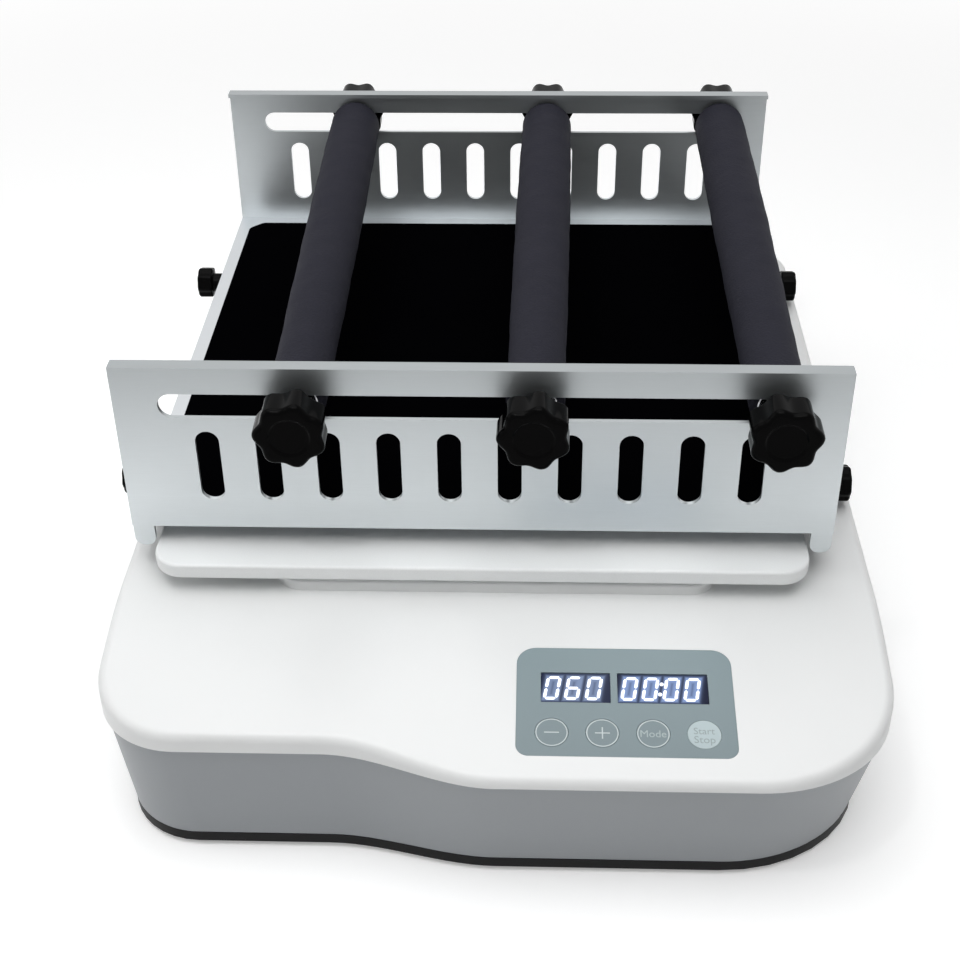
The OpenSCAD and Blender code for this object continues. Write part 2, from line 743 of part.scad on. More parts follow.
module power_supply() {
    color([0.1, 0.4, 0.2]) translate([supply_at[0], supply_at[1], base_top + supply_lift + board_t/2])
        cube([supply_w, supply_d, board_t], center = true);
    translate([supply_at[0], supply_at[1], base_top + supply_lift + board_t]) {
        color([0.85, 0.75, 0.3]) translate([-transformer[0]/2, -transformer[1]/2, 0]) cube(transformer);
        color([0.15, 0.2, 0.45]) for (y = capacitor_ys) translate([capacitor_r, y, 0])
            cylinder(h = capacitor_h, r = capacitor_r);
        color([0.5, 0.5, 0.52]) translate([-heat_sink[0]/2, -supply_d/2 + supply_post_in + 8, 0])
            cube(heat_sink);
    }
}

// ---------------------------------------------------------------- inlet and switch

// Frames on the walls: Z points outwards and Y up the wall
module on_rear_wall()
    translate([spindle[0] - body_w/2 + inlet_in, rear_y - lip_overhang, inlet_z]) rotate([90, 0, 180]) children();
wall_tilt = atan(side_draft/(parting_h - base_top));
module on_right_wall()
    translate([spindle[0] + foot_half_w + side_draft*(switch_z - base_top)/(parting_h - base_top),
        front_y + switch_back, switch_z])
        rotate([0, wall_tilt, 0]) rotate([90, 0, 90]) children();

inlet_body_w = 27.5;
inlet_body_h = 20.5;
inlet_depth = 17;
inlet_mouth_w = 24.4;
inlet_mouth_h = 16.9;
inlet_flange_w = 33;
inlet_flange_h = 26;
inlet_flange_t = 2;
module mains_inlet() color([0.09, 0.09, 0.1])
    on_rear_wall() {
        difference() {
            union() {
                linear_extrude(inlet_flange_t) rounded(inlet_flange_w, inlet_flange_h, 3);
                translate([0, 0, -inlet_depth]) linear_extrude(inlet_depth + cut)
                    square([inlet_body_w - 0.2, inlet_body_h - 0.2], center = true);
            }
            translate([0, 0, inlet_flange_t - inlet_depth]) linear_extrude(inlet_depth + cut)
                square([inlet_mouth_w, inlet_mouth_h], center = true);
        }
        for (p = [[-7, -2], [0, 2], [7, -2]]) translate([p[0] - 1, p[1] - 2, 1 - inlet_depth])
            cube([2, 4, inlet_depth - 4]);
    }

switch_body_w = 13.6;
switch_body_h = 19.2;
switch_depth = 16;
bezel_t = 1.5;
rocker_w = 10.2;
rocker_half = 7.6;
rocker_gap_w = rocker_w + 2*air;
rocker_pivot = -1;
rocker_pin_r = 1;
rocker_pin_in = 1.1;
module switch_housing() color([0.08, 0.08, 0.09])
    on_right_wall() difference() {
        union() {
            linear_extrude(bezel_t) rounded(switch_body_w + 3, switch_body_h + 3, 1.5);
            translate([0, 0, -switch_depth]) linear_extrude(switch_depth + bezel_t/2)
                square([switch_body_w - 0.2, switch_body_h - 0.2], center = true);
        }
        translate([0, 0, -9]) linear_extrude(9 + bezel_t + cut)
            square([rocker_gap_w, 2*rocker_half + 1.8], center = true);
        translate([-rocker_w/2 - rocker_pin_in - air, 0, rocker_pivot]) rotate([0, 90, 0])
            cylinder(h = rocker_w + 2*(rocker_pin_in + air), r = rocker_pin_r + run_gap);
    }
module power_rocker() color([0.12, 0.12, 0.13])
    on_right_wall() translate([0, 0, rocker_pivot]) rotate([rocker_tilt, 0, 0]) {
        rotate([90, 0, 90]) translate([0, 0, -rocker_w/2]) linear_extrude(rocker_w)
            polygon([[-rocker_half, -2.5], [-3, -5], [3, -5], [rocker_half, -2.5],
                [rocker_half, 3.2], [0, 2.5], [-rocker_half, 3.2]]);
        translate([-rocker_w/2 - rocker_pin_in, 0, 0]) rotate([0, 90, 0])
            cylinder(h = rocker_w + 2*rocker_pin_in, r = rocker_pin_r);
    }

// ---------------------------------------------------------------- turning drive parts

module eccentric(web_r) {
    translate([spindle[0], spindle[1], web_z]) cylinder(h = web_t, r = web_r);
    translate([platform[0], platform[1], web_top - cut]) {
        cylinder(h = plate_z - air - web_top + cut, r = pin_collar_r);
        cylinder(h = pin_top - web_top + cut, r = pin_r);
    }
}
spindle_r = spindle_bore/2 - run_gap;
module drive_spindle() color([0.72, 0.73, 0.75]) {
    translate([spindle[0], spindle[1], pulley_z - 3]) cylinder(h = web_z - pulley_z + 4, r = spindle_r);
    eccentric(orbit_r + pin_collar_r + 2);
}
module driven_pulley() color([0.35, 0.36, 0.38])
    translate([spindle[0], spindle[1], pulley_z]) difference() {
        union() {
            cylinder(h = pulley_h, r = pulley_r);
            for (z = [0, pulley_h - 1.5]) translate([0, 0, z]) cylinder(h = 1.5, r = pulley_r + 2.5);
            translate([0, 0, pulley_h - cut])
                cylinder(h = tube_low - pulley_z - pulley_h - air + cut, r = spindle_r + 3);
        }
        for (z = [-cut, pulley_h/2 + 2]) translate([0, 0, z])
            difference() {
                cylinder(h = pulley_h/2 - 2 + cut, r = pulley_r - 7);
                translate([0, 0, -cut]) cylinder(h = pulley_h, r = 15);
            }
        translate([0, 0, -cut]) cylinder(h = tube_low - pulley_z + 2*cut, r = spindle_r);
    }
module counterweight() color([0.45, 0.46, 0.48])
    translate([spindle[0], spindle[1], counterweight_z]) difference() {
        union() {
            linear_extrude(counterweight_t) {
                circle(17);
                rotate(rest_angle + 180) difference() {
                    circle(counterweight_r);
                    translate([-2*counterweight_r, -counterweight_r - cut])
                        square([2*counterweight_r, 2*counterweight_r + 2*cut]);
                }
            }
            translate([0, 0, -collar_h])
                cylinder(h = collar_h + counterweight_t/2, r = spindle_r + 2.5);
        }
        translate([0, 0, -collar_h - cut]) cylinder(h = counterweight_t + collar_h + 2*cut, r = spindle_r);
    }
module motor_rotor() color([0.6, 0.6, 0.63])
    translate([motor_axis[0], motor_axis[1], 0]) {
        translate([0, 0, pulley_z - 2])
            cylinder(h = bracket_top + motor_h - motor_wall - air - pulley_z + 2, r = motor_shaft_r);
        translate([0, 0, bracket_top + motor_wall + stator_in])
            cylinder(h = motor_h - 2*motor_wall - 2*stator_in, r = rotor_r);
    }
module motor_pulley() color([0.35, 0.36, 0.38])
    translate([motor_axis[0], motor_axis[1], pulley_z]) difference() {
        union() {
            cylinder(h = pulley_h, r = motor_pulley_r);
            for (z = [0, pulley_h - 1.5]) translate([0, 0, z])
                cylinder(h = 1.5, r = motor_pulley_r + 2.5);
        }
        translate([0, 0, -cut]) cylinder(h = pulley_h + 2*cut, r = motor_shaft_r);
    }
module follower(i) color([0.72, 0.73, 0.75])
    translate([follower_offsets[i][0], follower_offsets[i][1], 0]) {
        translate([spindle[0], spindle[1], low_bearing_z - 3])
            cylinder(h = web_z - low_bearing_z + 4, r = pin_r);
        translate([spindle[0], spindle[1], web_z - collar_h])
            cylinder(h = collar_h + cut, r = pin_r + 1.5);
        eccentric(orbit_r + pin_collar_r + 1);
    }

// ---------------------------------------------------------------- platform

module working_plate() color([0.93, 0.94, 0.95])
    difference() {
        translate([platform[0], platform[1], plate_z])
            linear_extrude(plate_t) rounded(plate_w, plate_d, plate_corner);
        for (o = concat([[0, 0]], follower_offsets))
            translate([platform[0] + o[0], platform[1] + o[1], plate_z - cut])
                cylinder(h = pocket_h + cut, d = plate_bearing_d);
    }
module plate_bearings() color([0.75, 0.76, 0.78])
    for (o = concat([[0, 0]], follower_offsets))
        translate([platform[0] + o[0], platform[1] + o[1], plate_z])
            tube(plate_bearing_d, bearing_bore, pocket_h);
spacer_r = 9;
spacer_in = [30, 48];
module tray_spacers() color([0.12, 0.12, 0.12])
    for (c = corners)
        translate([platform[0] + c[0]*(plate_w/2 - spacer_in[0]),
            platform[1] + c[1]*(plate_d/2 - spacer_in[1]), plate_top])
            cylinder(h = tray_lift, r = spacer_r);

// Local frame of the tray: the origin is the middle of its underside
module on_tray() translate([platform[0], platform[1], tray_z]) children();
clamp_z = plate_z + plate_t/2 - tray_z;
ear_r = 4;
screw_hole_r = clamp_screw_d/2 + run_gap;

// Wall with its return lip and its two ears, in front (side -1) or behind (side 1)
module tray_wall(side) color([0.78, 0.8, 0.82]) on_tray() mirror([0, (side + 1)/2, 0]) {
    difference() {
        translate([-tray_w/2, -tray_d/2, 0]) cube([tray_w, sheet, tray_wall_h]);
        translate([0, -tray_d/2 + sheet + cut, 0]) rotate([90, 0, 0]) linear_extrude(sheet + 2*cut) {
            for (i = [0:slot_count - 1])
                translate([(i - (slot_count - 1)/2)*slot_pitch, (slot_low + slot_high)/2]) rotate(90)
                    slot(slot_high - slot_low, slot_w);
            translate([0, rail_z]) slot(rail_len, rail_h);
        }
    }
    translate([-tray_w/2, -tray_d/2, tray_wall_h - sheet]) cube([tray_w, lip_w, sheet]);
    for (k = [0, 1]) mirror([k, 0, 0]) ear();
}
module ear() translate([tray_w/2 - ear_w, -tray_d/2 + sheet, -flange_h]) rotate([90, 0, 0])
    linear_extrude(sheet) {
        translate([0, ear_r]) square([ear_w, flange_h - ear_r + sheet/2]);
        square([ear_w - ear_r, flange_h]);
        translate([ear_w - ear_r, ear_r]) circle(ear_r);
    }
// Flange on the right side, with its clamp lugs and with its lower corners cut off
flange_len = tray_d - 2*sheet;
module side_flange() difference() {
    union() {
        translate([tray_w/2 - sheet, -flange_len/2, -flange_h]) cube([sheet, flange_len, flange_h + sheet/2]);
        for (s = [-1, 1]) translate([tray_w/2 - sheet, s*clamp_y, clamp_z]) {
            rotate([0, 90, 0]) cylinder(h = sheet, r = lug_r);
            translate([0, -lug_r, 0]) cube([sheet, 2*lug_r, -clamp_z]);
        }
    }
    for (m = [0, 1]) mirror([0, m, 0])
        translate([tray_w/2 - 2*sheet, -flange_len/2 - cut, -flange_h - cut])
            cube([3*sheet, ear_r/2 + cut, ear_r + cut]);
    for (s = [-1, 1]) translate([tray_w/2 - sheet - cut, s*clamp_y, clamp_z]) rotate([0, 90, 0])
        cylinder(h = sheet + 2*cut, r = screw_hole_r);
}
module clamp_tray() color([0.78, 0.8, 0.82]) on_tray() {
    translate([-tray_w/2, -flange_len/2, 0]) cube([tray_w, flange_len, sheet]);
    for (k = [0, 1]) mirror([k, 0, 0]) side_flange();
}
nut_len = side_room - 1;
module clamp_nuts() color([0.8, 0.72, 0.4]) on_tray()
    for (c = corners) translate([c[0]*(tray_w/2 - sheet), c[1]*clamp_y, clamp_z])
        rotate([0, -90*c[0], 0]) tube(10, 2*screw_hole_r, nut_len);

mat_w = tray_w - 2*mat_side;
mat_front = -tray_d/2 + sheet + 1;
mat_back = tray_d/2 - sheet - mat_rear;
module tray_mat() color([0.05, 0.05, 0.06]) on_tray() translate([0, 0, sheet]) linear_extrude(mat_t)
    polygon([[-mat_w/2, mat_front], [mat_w/2, mat_front], [mat_w/2, mat_back - mat_cut],
        [mat_w/2 - mat_cut, mat_back], [-mat_w/2 + mat_cut, mat_back], [-mat_w/2, mat_back - mat_cut]]);

// ---------------------------------------------------------------- clamp bars and knobs

collar_t = 2;
bar_half = tray_d/2 + star_reach - 3;
inner_half = tray_d/2 - sheet - bar_air;
// Local frame of a bar: the origin is its middle and Y runs along it
module on_bar(i) on_tray() translate([bars[i][0], 0, rail_z]) rotate(bars[i][1]) children();
module clamp_bar(i) color([0.7, 0.71, 0.73]) on_bar(i) rotate([90, 0, 0]) {
    translate([0, 0, -bar_half]) cylinder(h = 2*bar_half, d = bar_d);
    for (s = [0, 1]) mirror([0, 0, s]) translate([0, 0, inner_half - collar_t])
        cylinder(h = collar_t, d = bar_d + 10);
}
module foam_sleeve(i) color([0.25, 0.22, 0.27]) on_bar(i) rotate([90, 0, 0])
    translate([0, 0, -inner_half + collar_t]) tube(sleeve_d, bar_d, 2*(inner_half - collar_t));

// A star knob in front (side -1) or behind (side 1)
lobe_r = star_d*0.145;
module star_knob(i, side) color([0.06, 0.06, 0.07]) on_bar(i)
    translate([0, side*(tray_d/2 + bar_air), 0]) rotate([-90*side, 0, 0]) difference() {
        union() {
            cylinder(h = star_hub + cut, d = star_hub_d);
            translate([0, 0, star_hub]) linear_extrude(star_head) {
                circle(star_d/2 - lobe_r);
                for (i = [0:star_lobes - 1]) rotate(90 + i*360/star_lobes)
                    translate([star_d/2 - lobe_r, 0]) circle(lobe_r);
            }
        }
        translate([0, 0, -cut]) cylinder(h = star_hub + star_head - 2.5 + cut, r = bar_d/2 + run_gap);
    }

module side_clamp(sx, sy) on_tray()
    translate([sx*(tray_w/2 + air), sy*clamp_y, clamp_z]) rotate([0, 90*sx, 0]) {
        color([0.06, 0.06, 0.07]) difference() {
            union() {
                cylinder(h = side_neck + cut, r = 5);
                translate([0, 0, side_neck]) cylinder(h = side_knob_t, d = side_knob_d);
            }
            for (i = [0:7]) rotate(i*45) translate([side_knob_d/2 + 1.2, 0, side_neck - cut])
                cylinder(h = side_knob_t + 2*cut, r = 2.2);
            translate([0, 0, -cut]) cylinder(h = side_neck + 3 + cut, d = clamp_screw_d);
        }
        color([0.7, 0.71, 0.73]) translate([0, 0, plate_w/2 - tray_w/2])
            cylinder(h = tray_w/2 - plate_w/2 + side_neck + 3, d = clamp_screw_d);
    }

base_plate();
rubber_feet();
lower_housing();
top_cover();
case_screws();
panel_overlay();
speed_display();
timer_display();
control_board();
tact_switches();
m3_screws();
m4_screws();
bearing_posts();
post_bearings();
drive_bracket();
spindle_bearings();
motor_housing();
motor_stator();
drive_belt();
power_supply();
mains_inlet();
switch_housing();
power_rocker();
key(0);  // key_minus
key(1);  // key_plus
key(2);  // key_mode
key(3);  // key_start
drive_spindle();
driven_pulley();
counterweight();
motor_rotor();
motor_pulley();
follower(0);  // follower_left_front
follower(1);  // follower_right_front
follower(2);  // follower_left_rear
follower(3);  // follower_right_rear
working_plate();
plate_bearings();
tray_spacers();
clamp_tray();
tray_wall(-1);  // tray_wall_front
tray_wall(1);  // tray_wall_rear
clamp_nuts();
tray_mat();
clamp_bar(0);  // clamp_bar_left
clamp_bar(1);  // clamp_bar_middle
clamp_bar(2);  // clamp_bar_right
foam_sleeve(0);  // foam_sleeve_left
foam_sleeve(1);  // foam_sleeve_middle
foam_sleeve(2);  // foam_sleeve_right
star_knob(0, -1);  // star_knob_left_front
star_knob(0, 1);  // star_knob_left_rear
star_knob(1, -1);  // star_knob_middle_front
star_knob(1, 1);  // star_knob_middle_rear
star_knob(2, -1);  // star_knob_right_front
star_knob(2, 1);  // star_knob_right_rear
side_clamp(-1, -1);  // side_clamp_left_front
side_clamp(1, -1);  // side_clamp_right_front
side_clamp(-1, 1);  // side_clamp_left_rear
side_clamp(1, 1);  // side_clamp_right_rear
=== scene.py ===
"""Dressed scene of an orbital platform shaker with a clamp tray.

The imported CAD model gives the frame: bodies, nodes and places. Each class below makes the
pieces of one sub-assembly, gives them their finish and hands them to the frame. Sizes are in
millimetres until a mesh is built, and the scene itself is in metres.
"""

import sys

import json
import logging
import math
from dataclasses import dataclass, field
from enum import Enum
from typing import Any, Iterable, Sequence

import bmesh
import bpy
from mathutils import Matrix, Vector
from mathutils.geometry import tessellate_polygon

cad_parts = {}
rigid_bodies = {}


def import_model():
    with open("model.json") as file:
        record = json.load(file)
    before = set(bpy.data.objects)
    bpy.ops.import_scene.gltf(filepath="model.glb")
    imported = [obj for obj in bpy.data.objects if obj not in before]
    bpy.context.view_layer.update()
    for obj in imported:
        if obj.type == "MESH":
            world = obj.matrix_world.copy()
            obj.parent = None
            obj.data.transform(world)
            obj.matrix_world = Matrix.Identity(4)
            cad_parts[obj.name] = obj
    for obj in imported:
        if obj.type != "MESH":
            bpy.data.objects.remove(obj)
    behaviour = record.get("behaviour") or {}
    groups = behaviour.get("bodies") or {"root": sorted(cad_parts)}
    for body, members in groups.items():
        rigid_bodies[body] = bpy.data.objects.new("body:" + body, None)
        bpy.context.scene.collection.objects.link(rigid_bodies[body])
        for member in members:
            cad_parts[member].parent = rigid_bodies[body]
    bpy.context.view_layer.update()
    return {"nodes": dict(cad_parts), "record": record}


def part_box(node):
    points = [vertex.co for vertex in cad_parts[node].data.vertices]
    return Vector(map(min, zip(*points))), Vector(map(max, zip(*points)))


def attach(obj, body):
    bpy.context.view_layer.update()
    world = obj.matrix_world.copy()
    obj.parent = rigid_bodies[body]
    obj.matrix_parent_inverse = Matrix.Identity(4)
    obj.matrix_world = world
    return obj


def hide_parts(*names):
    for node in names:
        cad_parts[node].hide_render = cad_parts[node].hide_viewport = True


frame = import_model()

LOG = logging.getLogger("shaker")
MM = 0.001
# Points that are closer than this are one, in metres
WELD = 2e-6
NODES: dict[str, bpy.types.Object] = frame["nodes"]
BODY_OF: dict[str, str] = {
    node: body
    for body, nodes in frame["record"]["behaviour"]["bodies"].items()
    for node in nodes
}
SLOT_OF: dict[str, str] = {
    part["node"]: part["material_slot"] for part in frame["record"]["subparts"]
}

# Stands a drawing up, so that its Y axis points upwards and it looks to the front
UPRIGHT = Matrix.Rotation(math.pi / 2, 4, "X")
DIGIT_LEAN = math.tan(math.radians(9.5))

Pair = tuple[float, float]
Triple = tuple[float, float, float]
Colour = Triple
Point = Sequence[float]
Piece = bpy.types.Object
Material = bpy.types.Material
Inputs = dict[Any, Any]


# ---- node trees


def find_socket(sockets: Any, key: str | int) -> bpy.types.NodeSocket:
    """Finds a socket of a node.

    Args:
        sockets: The node's inputs or outputs.
        key: Index, identifier or name of the socket.

    Returns:
        The socket.
    """
    if isinstance(key, int):
        return sockets[key]
    for socket in sockets:
        if socket.identifier == key:
            return socket
    return sockets[key]


class Value:
    """An output socket, on which Python's operators add Math nodes."""

    def __init__(self, tree: "Tree", node: bpy.types.Node, output: str | int) -> None:
        """Wraps one output of a node, or the bare node where it has none."""
        self.tree, self.node = tree, node
        self.socket = find_socket(node.outputs, output) if node.outputs else None

    def other(self, output: str | int) -> "Value":
        """Another output of the same node."""
        return Value(self.tree, self.node, output)

    def math(self, operation: str, *operands: Any) -> "Value":
        """Result of a Math node on values or numbers."""
        return self.tree.node("ShaderNodeMath", dict(enumerate(operands)), operation=operation)

    def __add__(self, other: Any) -> "Value":
        """Sum."""
        return self.math("ADD", self, other)

    __radd__ = __add__

    def __sub__(self, other: Any) -> "Value":
        """Difference."""
        return self.math("SUBTRACT", self, other)

    def __rsub__(self, other: Any) -> "Value":
        """Difference from a number."""
        return self.math("SUBTRACT", other, self)

    def __mul__(self, other: Any) -> "Value":
        """Product."""
        return self.math("MULTIPLY", self, other)

    __rmul__ = __mul__

    def __truediv__(self, other: Any) -> "Value":
        """Quotient."""
        return self.math("DIVIDE", self, other)

    def __rtruediv__(self, other: Any) -> "Value":
        """Number over the value."""
        return self.math("DIVIDE", other, self)

    def __pow__(self, other: Any) -> "Value":
        """Power."""
        return self.math("POWER", self, other)

    def __abs__(self) -> "Value":
        """Size without sign."""
        return self.math("ABSOLUTE", self)

    def most(self, other: Any) -> "Value":
        """The larger of both."""
        return self.math("MAXIMUM", self, other)


class Tree:
    """A shader or Geometry Nodes tree, in which one method makes every node."""

    def __init__(self, tree: bpy.types.NodeTree) -> None:
        """Wraps a tree."""
        self.tree = tree

    def node(
        self, kind: str, inputs: Inputs | None = None, output: str | int = 0, **settings: Any
    ) -> Value:
        """Makes a node.

        Args:
            kind: The node's type.
            inputs: What goes into its sockets: a value, a wrapped output, or a list of these.
            output: Which output the result stands for.
            **settings: The node's own properties; stops are the place and brightness of a
                ramp's two stops.

        Returns:
            The wrapped output.
        """
        made = self.tree.nodes.new(kind)
        for name, value in settings.items():
            if name == "stops":
                for element, (place, level) in zip(made.color_ramp.elements, value):
                    element.position, element.color = place, (level, level, level, 1)
            else:
                setattr(made, name, value)
        for key, value in (inputs or {}).items():
            socket = find_socket(made.inputs, key)
            for item in value if isinstance(value, list) else [value]:
                if isinstance(item, Value):
                    self.tree.links.new(item.socket, socket)
                else:
                    socket.default_value = item
        return Value(self, made, output)

    def seen_ray(self) -> Value:
        """1 for camera, mirror and see-through rays, and 0 for the rest."""
        path = self.node("ShaderNodeLightPath", output="Is Camera Ray")
        return path.most(path.other("Is Glossy Ray")).most(path.other("Is Transmission Ray"))


class Surface(Tree):
    """Shader tree of one material, with the patterns that the finishes share."""

    def __init__(self, name: str) -> None:
        """Makes an empty material.

        Args:
            name: The material's name.
        """
        self.material = bpy.data.materials.new(name)
        self.material.use_nodes = True
        super().__init__(self.material.node_tree)
        self.tree.nodes.clear()

    def place(self, stretch: Point = (1, 1, 1), uv: bool = False) -> Value:
        """Coordinates on the piece or its UV map, scaled along each axis."""
        source = self.node("ShaderNodeTexCoord", output="UV" if uv else "Object")
        return self.node("ShaderNodeMapping", {"Vector": source, "Scale": stretch})

    def noise(self, size: float, place: Value | None = None, detail: float = 2.0) -> Value:
        """Soft noise from 0 to 1, with spots of a size in millimetres."""
        inputs = {"Vector": place or self.place(), "Scale": 1 / (size * MM), "Detail": detail}
        return self.node("ShaderNodeTexNoise", inputs)

    def cells(self, size: float, place: Value | None = None, feature: str = "F1") -> Value:
        """Distances in a pattern of cells of a size in millimetres."""
        inputs = {"Vector": place or self.place(), "Scale": 1 / (size * MM)}
        return self.node("ShaderNodeTexVoronoi", inputs, output="Distance", feature=feature)

    def waves(self, pitch: float, axis: "Axis") -> Value:
        """Even waves along an axis, with a pitch in millimetres."""
        inputs = {"Vector": self.place(), "Scale": math.pi / (10 * pitch * MM)}
        return self.node("ShaderNodeTexWave", inputs, output="Fac", bands_direction=axis.name)

    def ramp(self, factor: Value, *stops: Pair) -> Value:
        """Factor read through a grey ramp."""
        return self.node("ShaderNodeValToRGB", {"Fac": factor}, stops=stops)

    def mix(self, factor: Any, low: Any, high: Any) -> Value:
        """Colour between two colours, the first at 0 and the second at 1."""
        inputs = {"Factor_Float": factor, "A_Color": rgba(low), "B_Color": rgba(high)}
        return self.node("ShaderNodeMix", inputs, output="Result_Color", data_type="RGBA")

    def varied(self, colour: Colour | Value, factor: Value, spread: float) -> Value:
        """A colour that grows darker and lighter with a factor.

        Args:
            colour: The middle colour.
            factor: The pattern, from 0 to 1.
            spread: Share by which the colour moves to either side.

        Returns:
            The colour.
        """
        if isinstance(colour, Value):
            level = factor * (2 * spread) + (1 - spread)
            grey = self.node("ShaderNodeCombineXYZ", {0: level, 1: level, 2: level})
            return self.node("ShaderNodeVectorMath", {0: colour, 1: grey}, operation="MULTIPLY")
        low, high = (tuple(c * (1 + s) for c in colour) for s in (-spread, spread))
        return self.mix(factor, low, high)

    def bump(self, height: Any, depth: float, normal: Value | None = None) -> Value:
        """Relief.

        Args:
            height: The pattern, from 0 to 1.
            depth: Its depth in millimetres.
            normal: A coarser relief below it.

        Returns:
            The normal.
        """
        inputs: Inputs = {"Height": height, "Distance": depth * MM, "Strength": 1.0}
        if normal:
            inputs["Normal"] = normal
        return self.node("ShaderNodeBump", inputs, output="Normal")

    def close(self, **sockets: Any) -> Material:
        """Ends the tree in a Principled shader.

        Args:
            **sockets: Values of its sockets, with a low line for each blank of their names.

        Returns:
            The material.
        """
        inputs = {name.replace("_", " "): value for name, value in sockets.items()}
        for name in ("Base Color", "Emission Color"):
            if name in inputs:
                inputs[name] = rgba(inputs[name])
        shader = self.node("ShaderNodeBsdfPrincipled", inputs)
        self.node("ShaderNodeOutputMaterial", {"Surface": shader})
        return self.material


def rgba(colour: Any) -> Any:
    """Adds a full alpha to a plain colour and leaves a wrapped one as it is."""
    return colour if isinstance(colour, Value) else (*colour[:3], 1.0)


# ---- finishes


class Axis(Enum):
    """Direction of a grain or of turning marks."""

    X = 0
    Y = 1
    Z = 2

    def stretched(self, along: float, across: float) -> Triple:
        """Scales of a pattern that runs along this axis."""
        return tuple(along if i == self.value else across for i in range(3))


@dataclass(frozen=True)
class Finish:
    """A finish: the record's slot that it belongs to, and its colour."""

    slot: str
    colour: Colour

    @property
    def title(self) -> str:
        """Name of its material."""
        return f"{self.slot}_{type(self).__name__}"

    def material(self) -> Material:
        """The finish's material, made once."""
        return bpy.data.materials.get(self.title) or self.dress(Surface(self.title))

    def dress(self, surface: Surface) -> Material:
        """Builds the nodes.

        Args:
            surface: An empty shader tree.

        Returns:
            Its material.
        """
        raise NotImplementedError


@dataclass(frozen=True)
class MouldedPlastic(Finish):
    """Moulded plastic with a spark-eroded grain."""

    roughness: float = 0.4
    grain: float = 0.35
    depth: float = 0.008
    shine: float = 0.5

    def dress(self, surface: Surface) -> Material:
        """Grain, faint flow clouds and uneven gloss.

        Args:
            surface: An empty shader tree.

        Returns:
            Its material.
        """
        clouds = surface.noise(70)
        grain = surface.noise(self.grain, detail=3.0)
        return surface.close(
            Base_Color=surface.varied(self.colour, clouds, 0.025),
            Roughness=self.roughness + (clouds - 0.5) * 0.1 + (grain - 0.5) * 0.06,
            Normal=surface.bump(grain, self.depth),
            Specular_IOR_Level=self.shine,
        )


@dataclass(frozen=True)
class PowderCoat(Finish):
    """Powder coat with orange peel and fine specks."""

    roughness: float = 0.45
    depth: float = 0.02
    shine: float = 0.5

    def dress(self, surface: Surface) -> Material:
        """Soft waves, and specks in the colour.

        Args:
            surface: An empty shader tree.

        Returns:
            Its material.
        """
        peel = surface.noise(1.6, detail=1.0)
        specks = surface.noise(0.5, detail=4.0)
        return surface.close(
            Base_Color=surface.varied(self.colour, specks, 0.06),
            Roughness=self.roughness + (specks - 0.5) * 0.12,
            Normal=surface.bump(peel + specks * 0.3, self.depth),
            Specular_IOR_Level=self.shine,
        )


@dataclass(frozen=True)
class SatinSheet(Finish):
    """Sheet metal with a fine grain along its rolling direction."""

    axis: Axis = Axis.X
    roughness: float = 0.38
    metallic: float = 1.0
    depth: float = 0.004
    # Painted shade: share by which the colour darkens between the two heights below, in millimetres
    fade: float = 0.0
    fade_from: float = 125.0
    fade_to: float = 190.0

    def dress(self, surface: Surface) -> Material:
        """Drawn-out grain, clouds as anodising leaves them and, where fade is set, painted shade that
        darkens the colour upwards.

        Args:
            surface: An empty shader tree.

        Returns:
            Its material.
        """
        grain = surface.noise(0.35, surface.place(self.axis.stretched(0.03, 1.0)), 4.0)
        clouds = surface.noise(45, surface.place(self.axis.stretched(0.5, 1.0)))
        colour: Any = self.colour
        # Painted shade: the colour grows darker with height, standing in for the dimmer reflection towards
        # the top of a wall
        if self.fade:
            height = surface.node("ShaderNodeSeparateXYZ", {"Vector": surface.place()}, output="Z") / MM
            share = (height - self.fade_from) / (self.fade_to - self.fade_from)
            painted_shade_colour = tuple(c * (1 - self.fade) for c in colour)
            colour = surface.mix(surface.ramp(share, (0.0, 0.0), (1.0, 1.0)), colour, painted_shade_colour)
        return surface.close(
            Base_Color=surface.varied(colour, grain * 0.6 + clouds * 0.4, 0.07),
            Roughness=self.roughness + (grain - 0.5) * 0.14 + (clouds - 0.5) * 0.06,
            Metallic=self.metallic,
            Normal=surface.bump(grain, self.depth),
        )


@dataclass(frozen=True)
class WallSheet(SatinSheet):
    """Sheet of the walls, whose tone falls off towards the lip as painted shade."""


@dataclass(frozen=True)
class TurnedMetal(Finish):
    """Metal with the fine rings that turning or grinding leaves."""

    axis: Axis = Axis.Z
    roughness: float = 0.25
    pitch: float = 0.25

    def dress(self, surface: Surface) -> Material:
        """Rings across the axis, with a few handling marks.

        Args:
            surface: An empty shader tree.

        Returns:
            Its material.
        """
        rings = surface.noise(self.pitch, surface.place(self.axis.stretched(1.0, 0.02)), 3.0)
        marks = surface.noise(6, detail=5.0)
        return surface.close(
            Base_Color=surface.varied(self.colour, rings * 0.5 + marks * 0.5, 0.09),
            Roughness=self.roughness + (rings - 0.5) * 0.16 + (marks - 0.5) * 0.1,
            Metallic=1.0,
            Normal=surface.bump(rings, 0.006),
        )


@dataclass(frozen=True)
class CastMetal(Finish):
    """Cast metal with a sandy skin."""

    roughness: float = 0.55
    depth: float = 0.12

    def dress(self, surface: Surface) -> Material:
        """Coarse skin, pits and darker hollows.

        Args:
            surface: An empty shader tree.

        Returns:
            Its material.
        """
        skin = surface.noise(1.4, detail=6.0)
        pits = surface.ramp(surface.cells(2.5), (0.05, 0.0), (0.35, 1.0))
        return surface.close(
            Base_Color=surface.varied(self.colour, skin * 0.7 + pits * 0.3, 0.16),
            Roughness=self.roughness + (skin - 0.5) * 0.2,
            Metallic=0.9,
            Normal=surface.bump(skin * 0.6 + pits * 0.4, self.depth),
        )


